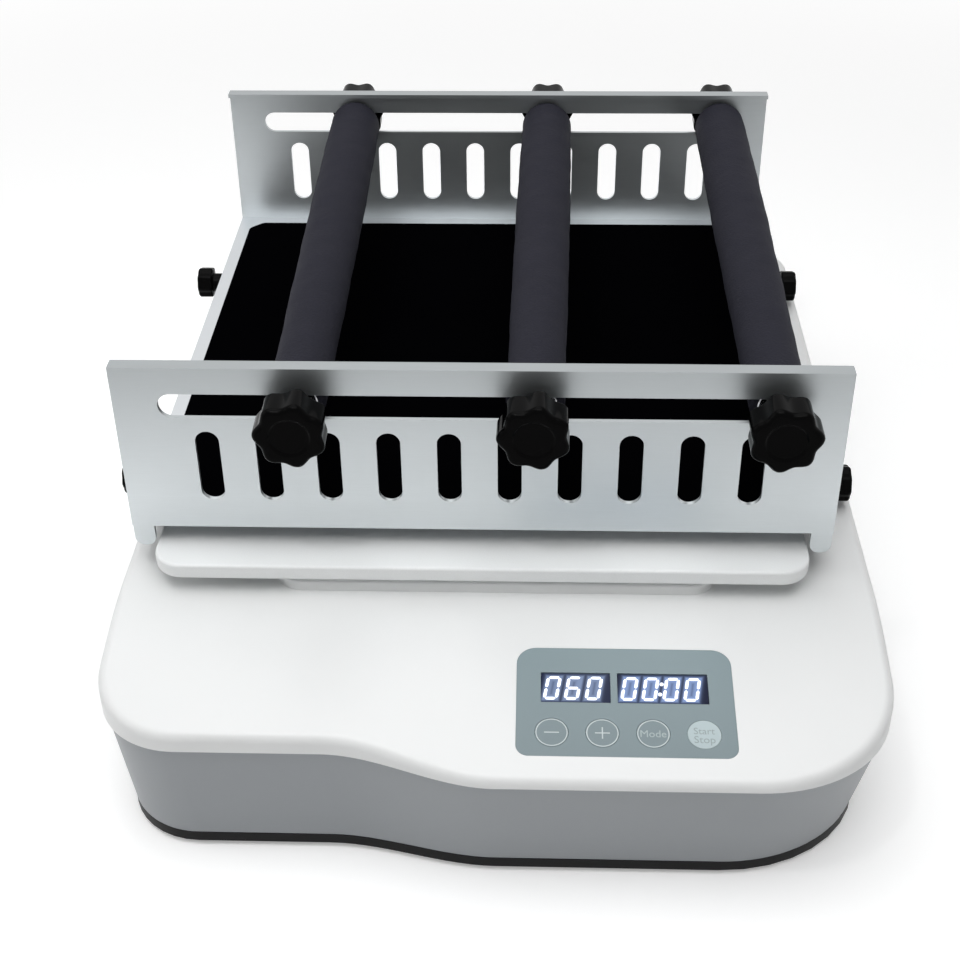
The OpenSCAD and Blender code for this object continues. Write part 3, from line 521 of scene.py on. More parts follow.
@dataclass(frozen=True)
class SoftRubber(Finish):
    """Rubber with a matt skin and a little bloom."""

    roughness: float = 0.75
    rib: float = 0.0
    axis: Axis = Axis.X
    shine: float = 0.12

    def dress(self, surface: Surface) -> Material:
        """Skin, bloom and, where it has them, fine ribs.

        Args:
            surface: An empty shader tree.

        Returns:
            Its material.
        """
        skin = surface.noise(0.5, detail=4.0)
        bloom = surface.noise(25, detail=3.0)
        height: Value = skin * 0.4
        if self.rib:
            height = skin * 0.2 + surface.waves(self.rib, self.axis) * 0.8
        return surface.close(
            Base_Color=surface.varied(self.colour, bloom * 0.6 + skin * 0.4, 0.22),
            Roughness=self.roughness + (bloom - 0.5) * 0.15,
            Normal=surface.bump(height, 0.12 if self.rib else 0.04),
            Specular_IOR_Level=self.shine,
        )


@dataclass(frozen=True)
class FoamSkin(Finish):
    """Closed-cell foam: fine cells, soft dents and a dull sheen."""

    cell: float = 0.9

    def dress(self, surface: Surface) -> Material:
        """Cells in relief and colour, and larger soft dents.

        Args:
            surface: An empty shader tree.

        Returns:
            Its material.
        """
        cells = surface.cells(self.cell)
        dents = surface.noise(14, detail=3.0)
        tone = surface.ramp(cells, (0.05, 0.0), (0.65, 1.0)) * 0.45 + dents * 0.55
        coarse = surface.bump(dents, 0.5)
        return surface.close(
            Base_Color=surface.varied(self.colour, tone, 0.28),
            Roughness=0.72 + (dents - 0.5) * 0.14,
            Normal=surface.bump(cells, 0.16, coarse),
            Specular_IOR_Level=0.06,
        )


@dataclass(frozen=True)
class PrintedFilm(Finish):
    """Satin film, printed from behind, with a very fine texture."""

    roughness: float = 0.42

    def dress(self, surface: Surface) -> Material:
        """Texture, and painted shade: the tone grows slowly lighter up the panel.

        Args:
            surface: An empty shader tree.

        Returns:
            Its material.
        """
        texture = surface.noise(0.22, detail=2.0)
        place = surface.place(uv=True)
        across = surface.node("ShaderNodeSeparateXYZ", {"Vector": place}, output="Y")
        # Painted shade: the tone grows lighter up the panel, darker towards its bottom
        tone = (texture - 0.5) * 0.12 + 0.5 + across * 1.5
        return surface.close(
            Base_Color=surface.varied(self.colour, tone, 0.16),
            Roughness=self.roughness + (texture - 0.5) * 0.08,
            Normal=surface.bump(texture, 0.006),
        )


@dataclass(frozen=True)
class DisplayGlass(Finish):
    """Dark lens with a glow round its row of lit digits."""

    centre: float = 0.0
    digits: int = 3
    pitch: float = 8.42
    half_w: float = 2.4
    half_h: float = 5.1
    reach: float = 1.1
    inner_slope: float = 0.45
    glow: Colour = (0.24, 0.34, 0.6)
    rest: Colour = (0.0, 0.001, 0.006)

    @property
    def title(self) -> str:
        """Name of its material, one for each row of digits."""
        return f"{self.slot}_{self.digits}_digits"

    def dress(self, surface: Surface) -> Material:
        """Glow that falls off from each digit, on the piece's UV map in decimetres.

        Args:
            surface: An empty shader tree.

        Returns:
            Its material.
        """
        across = surface.node("ShaderNodeSeparateXYZ", {"Vector": surface.place(uv=True)}, output="X")
        up = across.other("Y") * 100
        x, y = abs(across * 100 - up * DIGIT_LEAN - self.centre), abs(up)
        near = x.math("PINGPONG", x, self.pitch / 2)
        if self.digits % 2 == 0:
            near = self.pitch / 2 - near
        near = near.most(x - (self.digits - 1) / 2 * self.pitch)
        outside = (near - self.half_w).most(y - self.half_h)
        glow = 1 / (1 + (outside.most(outside * -self.inner_slope) / self.reach) ** 4)
        dust = surface.noise(3, detail=4.0)
        return surface.close(
            Base_Color=self.colour,
            Roughness=0.1 + dust * 0.06,
            Emission_Color=surface.mix(glow, self.rest, self.glow),
            Emission_Strength=1.0,
            Specular_IOR_Level=0.06,
        )


@dataclass(frozen=True)
class LitSegment(Finish):
    """Lit segment of a digit, slightly uneven."""

    def dress(self, surface: Surface) -> Material:
        """Even light with a slight unevenness of the diodes behind.

        Args:
            surface: An empty shader tree.

        Returns:
            Its material.
        """
        patch = surface.noise(3.5)
        return surface.close(
            Base_Color=(0.6, 0.63, 0.7),
            Roughness=0.4 + patch * 0.05,
            Emission_Color=surface.varied(self.colour, patch, 0.07),
            Emission_Strength=1.0,
        )


@dataclass(frozen=True)
class PrintInk(Finish):
    """Screen-printed ink."""

    def dress(self, surface: Surface) -> Material:
        """Slightly uneven cover.

        Args:
            surface: An empty shader tree.

        Returns:
            Its material.
        """
        cover = surface.noise(0.4, detail=3.0)
        return surface.close(
            Base_Color=surface.varied(self.colour, cover, 0.07),
            Roughness=0.5 + cover * 0.08,
            Normal=surface.bump(cover, 0.003),
        )


@dataclass(frozen=True)
class SoftPrintInk(PrintInk):
    """Thin print, through which the film shows."""


@dataclass(frozen=True)
class CircuitBoard(Finish):
    """Solder mask over copper runs."""

    def dress(self, surface: Surface) -> Material:
        """Runs and pads as lighter, raised lines of a cell pattern.

        Args:
            surface: An empty shader tree.

        Returns:
            Its material.
        """
        edges = surface.cells(4.5, feature="DISTANCE_TO_EDGE")
        runs = surface.ramp(edges, (0.04, 1.0), (0.09, 0.0))
        return surface.close(
            Base_Color=surface.mix(runs, self.colour, tuple(c * 2.2 for c in self.colour)),
            Roughness=0.3 + runs * 0.1,
            Normal=surface.bump(runs, 0.03),
            Coat_Weight=0.4,
        )


@dataclass(frozen=True)
class WoundCopper(Finish):
    """Varnished winding."""

    wire: float = 0.8

    def dress(self, surface: Surface) -> Material:
        """Wires side by side.

        Args:
            surface: An empty shader tree.

        Returns:
            Its material.
        """
        wires = surface.waves(self.wire, Axis.Z)
        return surface.close(
            Base_Color=surface.varied(self.colour, wires, 0.3),
            Roughness=0.3 + wires * 0.1,
            Metallic=0.8,
            Normal=surface.bump(wires, 0.2),
        )


COVER_WHITE = MouldedPlastic("cover_white", (0.86, 0.87, 0.87), roughness=0.34, grain=0.3, depth=0.003)
HOUSING_GREY = MouldedPlastic("housing_grey", (0.325, 0.345, 0.365), roughness=0.42)
FITTING_BLACK = MouldedPlastic("fitting_black", (0.012, 0.012, 0.013), roughness=0.45, shine=0.2)
KNOB_BLACK = MouldedPlastic(
    "knob_black", (0.0006, 0.0006, 0.0007), roughness=0.12, grain=0.6, depth=0.002, shine=0.035
)
BASE_BLACK = PowderCoat("base_black", (0.006, 0.006, 0.0065), shine=0.15)
PLATE_WHITE = PowderCoat("plate_white", (0.92, 0.935, 0.935), roughness=0.4, depth=0.012)
MOTOR_BLACK = PowderCoat("motor_black", (0.03, 0.03, 0.035), roughness=0.35)
TRAY_SHEET = SatinSheet("tray_aluminium", (0.62, 0.64, 0.66))
# Walls: a copy of the tray's aluminium with painted shade, darker towards the lip
WALL_SHEET = WallSheet("tray_aluminium", (0.6, 0.635, 0.65), fade=0.38)
ZINC_STEEL = SatinSheet("zinc_steel", (0.55, 0.56, 0.58), Axis.Z, roughness=0.32)
PULLEY = TurnedMetal("pulley_aluminium", (0.5, 0.51, 0.53), roughness=0.3, pitch=0.5)
BEARING_STEEL = TurnedMetal("bearing_steel", (0.62, 0.63, 0.65), roughness=0.16)
BAR_STEEL = TurnedMetal("bar_steel", (0.55, 0.56, 0.58), Axis.Y, roughness=0.22)
NUT_BRASS = TurnedMetal("nut_brass", (0.7, 0.55, 0.25), Axis.X, roughness=0.28)
CAST_ALUMINIUM = CastMetal("cast_aluminium", (0.6, 0.61, 0.63))
CAST_IRON = CastMetal("cast_iron_grey", (0.2, 0.2, 0.21), roughness=0.6, depth=0.08)
FOOT_RUBBER = SoftRubber("foot_rubber", (0.04, 0.04, 0.04))
BELT_RUBBER = SoftRubber("belt_rubber", (0.03, 0.03, 0.03), roughness=0.6, rib=2.0, axis=Axis.Z)
MAT_RUBBER = SoftRubber("mat_rubber", (0.001, 0.001, 0.0014), roughness=0.7, shine=0.0)
FOAM = FoamSkin("sleeve_foam", (0.021, 0.021, 0.029))
PANEL_FILM = PrintedFilm("panel_film", (0.22, 0.284, 0.305))
KEY_FILM = PrintedFilm("key_film", (0.208, 0.269, 0.289))
KEY_FILM_LIGHT = PrintedFilm("key_film_light", (0.506, 0.604, 0.626))
LIGHT_INK = PrintInk("key_film", (0.6, 0.66, 0.67))
SOFT_INK = SoftPrintInk("key_film", (0.42, 0.49, 0.5))
GREY_INK = PrintInk("key_film_light", (0.3, 0.36, 0.37))
MARK_INK = PrintInk("fitting_black", (0.75, 0.75, 0.75))
LIT = LitSegment("display_glass", (0.86, 0.9, 1.0))
SPEED_GLASS = DisplayGlass(
    "display_glass", (0.01, 0.012, 0.03), centre=-1.0, glow=(0.22, 0.29, 0.45), rest=(0.01, 0.014, 0.03)
)
TIMER_GLASS = DisplayGlass("display_glass", (0.01, 0.012, 0.03), centre=-0.75, digits=4)
BOARD_GREEN = CircuitBoard("circuit_board", (0.02, 0.13, 0.06))
WINDING = WoundCopper("copper_winding", (0.55, 0.25, 0.1))
FINISHES: dict[str, Finish] = {
    f.slot: f
    for f in (
        COVER_WHITE, HOUSING_GREY, FITTING_BLACK, KNOB_BLACK, BASE_BLACK, PLATE_WHITE, MOTOR_BLACK,
        TRAY_SHEET, ZINC_STEEL, PULLEY, BEARING_STEEL, BAR_STEEL, NUT_BRASS, CAST_ALUMINIUM,
        CAST_IRON, FOOT_RUBBER, BELT_RUBBER, MAT_RUBBER, FOAM, PANEL_FILM, KEY_FILM,
        KEY_FILM_LIGHT, SPEED_GLASS, BOARD_GREEN, WINDING,
    )
}


# ---- mesh making


def circle(centre: Point, radius: float, steps: int = 48) -> list[Point]:
    """Circle as points, anticlockwise."""
    angles = (math.tau * i / steps for i in range(steps))
    return [(centre[0] + radius * math.cos(a), centre[1] + radius * math.sin(a)) for a in angles]


def arc(centre: Point, rx: float, ry: float, start: float, steps: int) -> list[Point]:
    """Quarter of an ellipse with half sizes rx and ry, from an angle in degrees."""
    angles = [math.radians(start + 90 * i / steps) for i in range(steps + 1)]
    return [(centre[0] + rx * math.cos(a), centre[1] + ry * math.sin(a)) for a in angles]


def edge_curve(radius: float, steps: int) -> list[Pair]:
    """Rounding of an edge: how far each step lies inside the side, and how far off the face."""
    angles = [math.pi / 2 * k / steps for k in range(steps + 1)]
    return [(radius * (1 - math.sin(a)), radius * (1 - math.cos(a))) for a in angles]


def rounded_box(
    centre: Point, width: float, depth: float, radii: Sequence[float], steps: int = 8
) -> list[Point]:
    """Rectangle with rounded corners, anticlockwise from its left lower corner.

    Args:
        centre: Its centre.
        width: Its width.
        depth: Its depth.
        radii: Radius of the lower and of the upper corners.
        steps: Steps in a corner.

    Returns:
        Its points.
    """
    low, high = radii[0], radii[-1]
    x0, x1 = centre[0] - width / 2, centre[0] + width / 2
    y0, y1 = centre[1] - depth / 2, centre[1] + depth / 2
    return (
        arc((x0 + low, y0 + low), low, low, 180, steps)
        + arc((x1 - low, y0 + low), low, low, 270, steps)
        + arc((x1 - high, y1 - high), high, high, 0, steps)
        + arc((x0 + high, y1 - high), high, high, 90, steps)
    )


def inset(points: Sequence[Point], distance: float) -> list[Point]:
    """Moves a closed outline to its left side.

    Args:
        points: The outline, anticlockwise where it is filled inside.
        distance: How far each edge moves.

    Returns:
        The moved outline.
    """
    made = []
    for i, here in enumerate(points):
        u = (Vector(here[:2]) - Vector(points[i - 1][:2])).normalized()
        v = (Vector(points[(i + 1) % len(points)][:2]) - Vector(here[:2])).normalized()
        shift = Vector((-u.y - v.y, u.x + v.x)) * distance / (1 + u.dot(v))
        made.append((here[0] + shift.x, here[1] + shift.y))
    return made


def softened_path(
    points: Sequence[Point], radius: float, steps: int = 4, closed: bool = True
) -> list[Point]:
    """Rounds the corners of a path.

    Args:
        points: Its corners.
        radius: How far each rounding reaches along its edges.
        steps: Steps in a corner.
        closed: Whether the path is closed; an open one keeps its ends.

    Returns:
        The rounded path.
    """
    made: list[Point] = []
    for i, here in enumerate(points):
        if not closed and i in (0, len(points) - 1):
            made.append(tuple(here))
            continue
        p = Vector(here)
        before, after = Vector(points[i - 1]) - p, Vector(points[(i + 1) % len(points)]) - p
        a = p + before.normalized() * min(radius, before.length * 0.49)
        b = p + after.normalized() * min(radius, after.length * 0.49)
        for k in range(steps + 1):
            t = k / steps
            made.append(tuple(a * (1 - t) ** 2 + p * 2 * t * (1 - t) + b * t**2))
    return made


class Shape:
    """A mesh in the making, in millimetres."""

    def __init__(self) -> None:
        """Starts empty."""
        self.points: list[Vector] = []
        self.faces: list[list[int]] = []

    def ring(self, points: Iterable[Point]) -> list[int]:
        """Adds points.

        Args:
            points: The points.

        Returns:
            Their numbers.
        """
        start = len(self.points)
        self.points.extend(Vector(p) for p in points)
        return list(range(start, len(self.points)))

    def bridge(self, low: list[int], high: list[int]) -> None:
        """Joins two closed rings of equally many points."""
        corners = zip(low, low[1:] + low[:1], high[1:] + high[:1], high)
        self.faces += [list(face) for face in corners]

    def loft(
        self, rings: Iterable[Iterable[Point]], capped: bool = True, closed: bool = False
    ) -> list[list[int]]:
        """Skin over rings.

        Args:
            rings: Rings of points, in order.
            capped: Whether the first and the last ring are filled.
            closed: Whether the last ring meets the first.

        Returns:
            The numbers of each ring's points.
        """
        made = [self.ring(r) for r in rings]
        for low, high in zip(made, made[1:]):
            self.bridge(low, high)
        if closed:
            self.bridge(made[-1], made[0])
        elif capped:
            self.faces += [made[0][::-1], made[-1]]
        return made

    def lathe(
        self, profile: Sequence[Point], steps: int = 48, closed: bool = False, lobes: int = 0,
        middle: Point = (0, 0),
    ) -> "Shape":
        """Turned solid round the Z axis.

        Args:
            profile: Radius, height and, for a lobed form, lobe depth of each ring.
            steps: Steps round the axis.
            closed: Whether the profile is closed, as a tube's.
            lobes: Number of lobes.
            middle: Where the axis stands.

        Returns:
            The shape itself.
        """
        rings = []
        for radius, height, *lobe in profile:
            ring = []
            for i in range(steps):
                a = math.tau * i / steps
                r = radius + (lobe[0] * math.cos(lobes * a) if lobe else 0)
                ring.append((middle[0] + r * math.cos(a), middle[1] + r * math.sin(a), height))
            rings.append(ring)
        self.loft(rings, closed=closed)
        return self

    def slab(
        self, loops: Sequence[Sequence[Point]], low: float, high: float, edge: float = 0.0, steps: int = 3
    ) -> "Shape":
        """Plate with holes and rounded edges.

        Args:
            loops: Outline, anticlockwise, then the holes, clockwise.
            low: Lower face.
            high: Upper face.
            edge: Radius of its edges.
            steps: Steps in an edge.

        Returns:
            The shape itself.
        """
        lower = [(d, low + z) for d, z in edge_curve(edge, steps)] if edge else [(0.0, low)]
        upper = [(d, low + high - z) for d, z in reversed(lower)]
        bottoms, tops = [], []
        for loop in loops:
            rings = [[(*p, z) for p in inset(loop, d)] for d, z in lower + upper]
            made = self.loft(rings, capped=False)
            bottoms.append(made[0])
            tops.append(made[-1])
        for rings, down in ((bottoms, True), (tops, False)):
            flat = [[self.points[i].copy() for i in r] for r in rings]
            numbers = [i for r in rings for i in r]
            for triangle in tessellate_polygon(flat):
                a, b, c = (self.points[numbers[k]] for k in triangle)
                up = (b - a).cross(c - a).z > 0
                face = [numbers[k] for k in triangle]
                self.faces.append(face[::-1] if up == down else face)
        return self

    def box(self, low: Point, high: Point) -> "Shape":
        """Plain block.

        Args:
            low: Its lowest corner.
            high: Its highest corner.

        Returns:
            The shape itself.
        """
        (x0, y0, z0), (x1, y1, z1) = low, high
        ring = [(x0, y0), (x1, y0), (x1, y1), (x0, y1)]
        self.loft([[(*p, z0) for p in ring], [(*p, z1) for p in ring]])
        return self

    def add(self, other: "Shape") -> None:
        """Takes in another shape."""
        self.faces += [[i + len(self.points) for i in face] for face in other.faces]
        self.points += other.points

    def moved(self, matrix: Matrix) -> "Shape":
        """Moves all points made so far."""
        self.points = [matrix @ p for p in self.points]
        return self

    def build(self, name: str, matrix: Matrix | None = None) -> Piece:
        """Makes the object, closed and with its faces outwards.

        Args:
            name: Name of the piece.
            matrix: Where the shape stands, in millimetres.

        Returns:
            The object, at the origin, with its place in its mesh.
        """
        if matrix:
            self.moved(matrix)
        work = bmesh.new()
        made = [work.verts.new(p * MM) for p in self.points]
        for face in self.faces:
            if len(set(face)) == len(face):
                try:
                    work.faces.new([made[i] for i in face])
                except ValueError:
                    LOG.debug("%s: doubled face left out", name)
        bmesh.ops.remove_doubles(work, verts=work.verts, dist=WELD)
        bmesh.ops.dissolve_degenerate(work, edges=work.edges, dist=1e-6)
        bmesh.ops.recalc_face_normals(work, faces=work.faces)
        mesh = bpy.data.meshes.new(name)
        work.to_mesh(mesh)
        work.free()
        return linked(name, mesh)


def linked(name: str, data: Any) -> Piece:
    """Makes an object of the scene.

    Args:
        name: Its name.
        data: Its mesh, curve, lamp or camera.

    Returns:
        The object.
    """
    made = bpy.data.objects.new(name, data)
    bpy.context.scene.collection.objects.link(made)
    return made


def baked(piece: Piece) -> Piece:
    """Applies a piece's modifiers to its mesh.

    Args:
        piece: The piece.

    Returns:
        The piece.
    """
    depsgraph = bpy.context.evaluated_depsgraph_get()
    depsgraph.update()
    mesh = bpy.data.meshes.new_from_object(
        piece.evaluated_get(depsgraph), preserve_all_data_layers=True, depsgraph=depsgraph
    )
    piece.modifiers.clear()
    old = piece.data
    piece.data = mesh
    if old.users == 0:
        bpy.data.meshes.remove(old)
    mesh.name = piece.name
    return piece


def combined(
    piece: Piece, tool: Shape | Piece, operation: str, matrix: Matrix | None = None
) -> Piece:
    """Joins a shape to a piece or cuts it away.

    Args:
        piece: The piece that changes.
        tool: The shape, or a piece that is used up.
        operation: UNION, DIFFERENCE or INTERSECT.
        matrix: Where the shape stands.

    Returns:
        The piece.
    """
    other = tool.build("tool", matrix) if isinstance(tool, Shape) else tool
    change = piece.modifiers.new("join", "BOOLEAN")
    change.operation, change.solver, change.object = operation, "EXACT", other
    baked(piece)
    bpy.data.objects.remove(other)
    return piece


def smoothed(
    piece: Piece, angle: float = 32.0, bevel: float = 0.0, steps: int = 2
) -> Piece:
    """Rounds a piece's edges and smooths its shading.

    Args:
        piece: The piece.
        angle: Sharpest bend, in degrees, that is shaded smoothly.
        bevel: Width of the rounding in millimetres, or none.
        steps: Steps of the rounding.

    Returns:
        The piece.
    """
    if bevel:
        edge = piece.modifiers.new("edge", "BEVEL")
        edge.width, edge.segments, edge.limit_method = bevel * MM, steps, "ANGLE"
        edge.angle_limit, edge.use_clamp_overlap = math.radians(30), True
        baked(piece)
    piece.data.shade_smooth()
    piece.data.set_sharp_from_angle(angle=math.radians(angle))
    weights = piece.modifiers.new("weights", "WEIGHTED_NORMAL")
    weights.keep_sharp = True
    return baked(piece)


def merged(piece: Piece, faces: bool = True) -> Piece:
    """Merges a piece's doubled points and, where wanted, its flat faces.

    Args:
        piece: The piece.
        faces: Whether flat faces are merged too.

    Returns:
        The piece.
    """
    work = bmesh.new()
    work.from_mesh(piece.data)
    bmesh.ops.remove_doubles(work, verts=work.verts, dist=WELD)
    if faces:
        flat = math.radians(0.5)
        bmesh.ops.dissolve_limit(work, angle_limit=flat, verts=work.verts, edges=work.edges)
    bmesh.ops.recalc_face_normals(work, faces=work.faces)
    work.to_mesh(piece.data)
    work.free()
    return piece


def node_copy(node: str, name: str) -> Piece:
    """Copies a CAD node as a merged mesh of large faces."""
    return merged(linked(name, NODES[node].data.copy()))


def solids(node: str) -> list[tuple[Vector, Vector]]:
    """Finds the loose solids of a CAD node.

    Args:
        node: The CAD node.

    Returns:
        The lowest and the highest corner of each, in millimetres.
    """
    work = bmesh.new()
    work.from_mesh(NODES[node].data)
    bmesh.ops.remove_doubles(work, verts=work.verts, dist=WELD)
    left, found = set(work.verts), []
    while left:
        stack, group = [left.pop()], []
        while stack:
            vertex = stack.pop()
            group.append(vertex.co / MM)
            for edge in vertex.link_edges:
                other = edge.other_vert(vertex)
                if other in left:
                    left.remove(other)
                    stack.append(other)
        low = Vector([min(p[i] for p in group) for i in range(3)])
        high = Vector([max(p[i] for p in group) for i in range(3)])
        found.append((low, high))
    work.free()
    return sorted(found, key=lambda b: tuple(round(v, 3) for v in b[0]))


def stands(node: str) -> list[Point]:
    """Where the loose solids of a CAD node stand: the middle of each one's lower side."""
    return [(*((low + high) / 2).xy, low.z) for low, high in solids(node)]


class NodeBench(Tree):
    """Geometry Nodes tree with named inputs, run once on a piece."""

    def __init__(self, name: str, **inputs: str) -> None:
        """Starts a tree.

        Args:
            name: The tree's name.
            **inputs: Socket kind of each input, by name.
        """
        super().__init__(bpy.data.node_groups.new(name, "GeometryNodeTree"))
        face = self.tree.interface
        face.new_socket(name="Geometry", in_out="INPUT", socket_type="NodeSocketGeometry")
        face.new_socket(name="Geometry", in_out="OUTPUT", socket_type="NodeSocketGeometry")
        self.ids = {
            key: face.new_socket(
                name=key.replace("_", " "), in_out="INPUT", socket_type=kind
            ).identifier
            for key, kind in inputs.items()
        }
        self.start = self.node("NodeGroupInput", output="Geometry")

    def given(self, key: str) -> Value:
        """The value of a named input."""
        return self.start.other(self.ids[key])

    def end(self, geometry: Value) -> None:
        """Ends the tree in plain geometry with its material.

        Args:
            geometry: What the tree has made.
        """
        real = self.node("GeometryNodeRealizeInstances", {"Geometry": geometry})
        inputs = {"Geometry": real, "Material": self.given("Material")}
        self.node("NodeGroupOutput", {"Geometry": self.node("GeometryNodeSetMaterial", inputs)})

    def run(self, piece: Piece, **values: Any) -> Piece:
        """Runs the tree on a piece.

        Args:
            piece: The piece, whose mesh goes in.
            **values: Value of each named input.

        Returns:
            The piece with the result as its plain mesh.
        """
        change = piece.modifiers.new("nodes", "NODES")
        change.node_group = self.tree
        for key, value in values.items():
            change[self.ids[key]] = value
        return baked(piece)


class CopiesBench(NodeBench):
    """Puts copies of a part at the points of a mesh."""

    def __init__(self) -> None:
        """Builds the tree."""
        super().__init__(
            "copies", Part="NodeSocketObject", Turn="NodeSocketRotation", Material="NodeSocketMaterial"
        )
        part = self.node("GeometryNodeObjectInfo", {"Object": self.given("Part")}, output="Geometry")
        inputs = {"Points": self.start, "Instance": part, "Rotation": self.given("Turn")}
        self.end(self.node("GeometryNodeInstanceOnPoints", inputs))


class PerforationBench(NodeBench):
    """Fills a sheet's outline and leaves out a row of upright slots and one long slot."""

    def __init__(self) -> None:
        """Builds the tree."""
        number = "NodeSocketFloat"
        super().__init__(
            "perforated_sheet", Thickness=number, Slot_Count="NodeSocketInt", Slot_Pitch=number,
            Slot_Width=number, Slot_Length=number, Slot_Height=number, Rail_Length=number,
            Rail_Width=number, Rail_Height=number, Material="NodeSocketMaterial",
        )
        given = self.given
        outline = self.node("GeometryNodeMeshToCurve", {"Mesh": self.start})
        first = (given("Slot_Count") - 1) * given("Slot_Pitch") * -0.5
        row = self.node(
            "GeometryNodeMeshLine",
            {
                "Count": given("Slot_Count"),
                "Start Location": self.vector(first, given("Slot_Height")),
                "Offset": self.vector(given("Slot_Pitch"), 0.0),
            },
            mode="OFFSET",
        )
        upright = self.slot(given("Slot_Width"), given("Slot_Length"), given("Slot_Width"))
        slots = self.node("GeometryNodeInstanceOnPoints", {"Points": row, "Instance": upright})
        rail = self.slot(given("Rail_Length"), given("Rail_Width"), given("Rail_Width"))
        lifted = {"Geometry": rail, "Translation": self.vector(0.0, given("Rail_Height"))}
        rail = self.node("GeometryNodeTransform", lifted)
        loops = self.node("GeometryNodeJoinGeometry", {0: [outline, slots, rail]})
        loops = self.node("GeometryNodeRealizeInstances", {"Geometry": loops})
        face = self.node("GeometryNodeFillCurve", {"Curve": loops}, mode="TRIANGLES")
        raised = self.node(
            "GeometryNodeExtrudeMesh",
            {
                "Mesh": face,
                "Offset": self.vector(0.0, 0.0, 1.0),
                "Offset Scale": given("Thickness"),
                "Individual": False,
            },
        )
        back = self.node("GeometryNodeFlipFaces", {"Mesh": face})
        both = self.node("GeometryNodeJoinGeometry", {0: [raised, back]})
        self.end(self.node("GeometryNodeMergeByDistance", {"Geometry": both, "Distance": WELD}))

    def vector(self, x: Any, y: Any, z: Any = 0.0) -> Value:
        """Vector from numbers or values."""
        return self.node("ShaderNodeCombineXYZ", {"X": x, "Y": y, "Z": z})

    def slot(self, width: Value, height: Value, across: Value) -> Value:
        """Curve of a slot with round ends.

        Args:
            width: Its width.
            height: Its height.
            across: The smaller of both, which its ends are rounded to.

        Returns:
            The curve.
        """
        box = self.node("GeometryNodeCurvePrimitiveQuadrilateral", {"Width": width, "Height": height})
        return self.node(
            "GeometryNodeFilletCurve",
            {"Curve": box, "Radius": across * 0.4999, "Count": 12, "Limit Radius": True},
            mode="POLY",
        )


# ---- sub-assemblies


class Assembly:
    """A sub-assembly, which dresses its pieces and hands them to the frame."""

    pieces: int = 0

    def hand_over(
        self, piece: Piece, finish: Finish, *nodes: str, body: str | None = None
    ) -> Piece:
        """Gives a piece its finish, its body and the nodes it stands for.

        Args:
            piece: The piece.
            finish: Its finish.
            *nodes: The CAD nodes that it replaces.
            body: Its body, where it isn't that of the first node.

        Returns:
            The piece.
        """
        piece.data.materials.clear()
        piece.data.materials.append(finish.material())
        body = body or BODY_OF[nodes[0]]
        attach(piece, body)
        if nodes:
            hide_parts(*nodes)
        Assembly.pieces += 1
        LOG.info("%s rides on %s, %d faces", piece.name, body, len(piece.data.polygons))
        return piece

    def hand_copies(
        self, name: str, part: Shape, places: Iterable[Point], finish: Finish, node: str,
        turn: Point = (0, 0, 0),
    ) -> None:
        """Hands over copies of one part as a single piece.

        Args:
            name: Name of the piece.
            part: The part, round its own origin.
            places: Where its copies stand, in millimetres.
            finish: Their finish.
            node: The CAD node that they replace.
            turn: Turn of every copy, in radians.
        """
        model = smoothed(part.build("model"))
        mesh = bpy.data.meshes.new(name)
        mesh.from_pydata([Vector(p) * MM for p in places], [], [])
        piece = linked(name, mesh)
        CopiesBench().run(piece, Part=model, Turn=turn, Material=finish.material())
        bpy.data.objects.remove(model)
        self.hand_over(piece, finish, node)


def corner(node: str, high: bool = False) -> Vector:
    """A corner of a CAD node's box, in millimetres."""
    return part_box(node)[int(high)] / MM


def middle(node: str) -> Vector:
    """Centre of a CAD node's box, in millimetres."""
    return (corner(node) + corner(node, True)) / 2


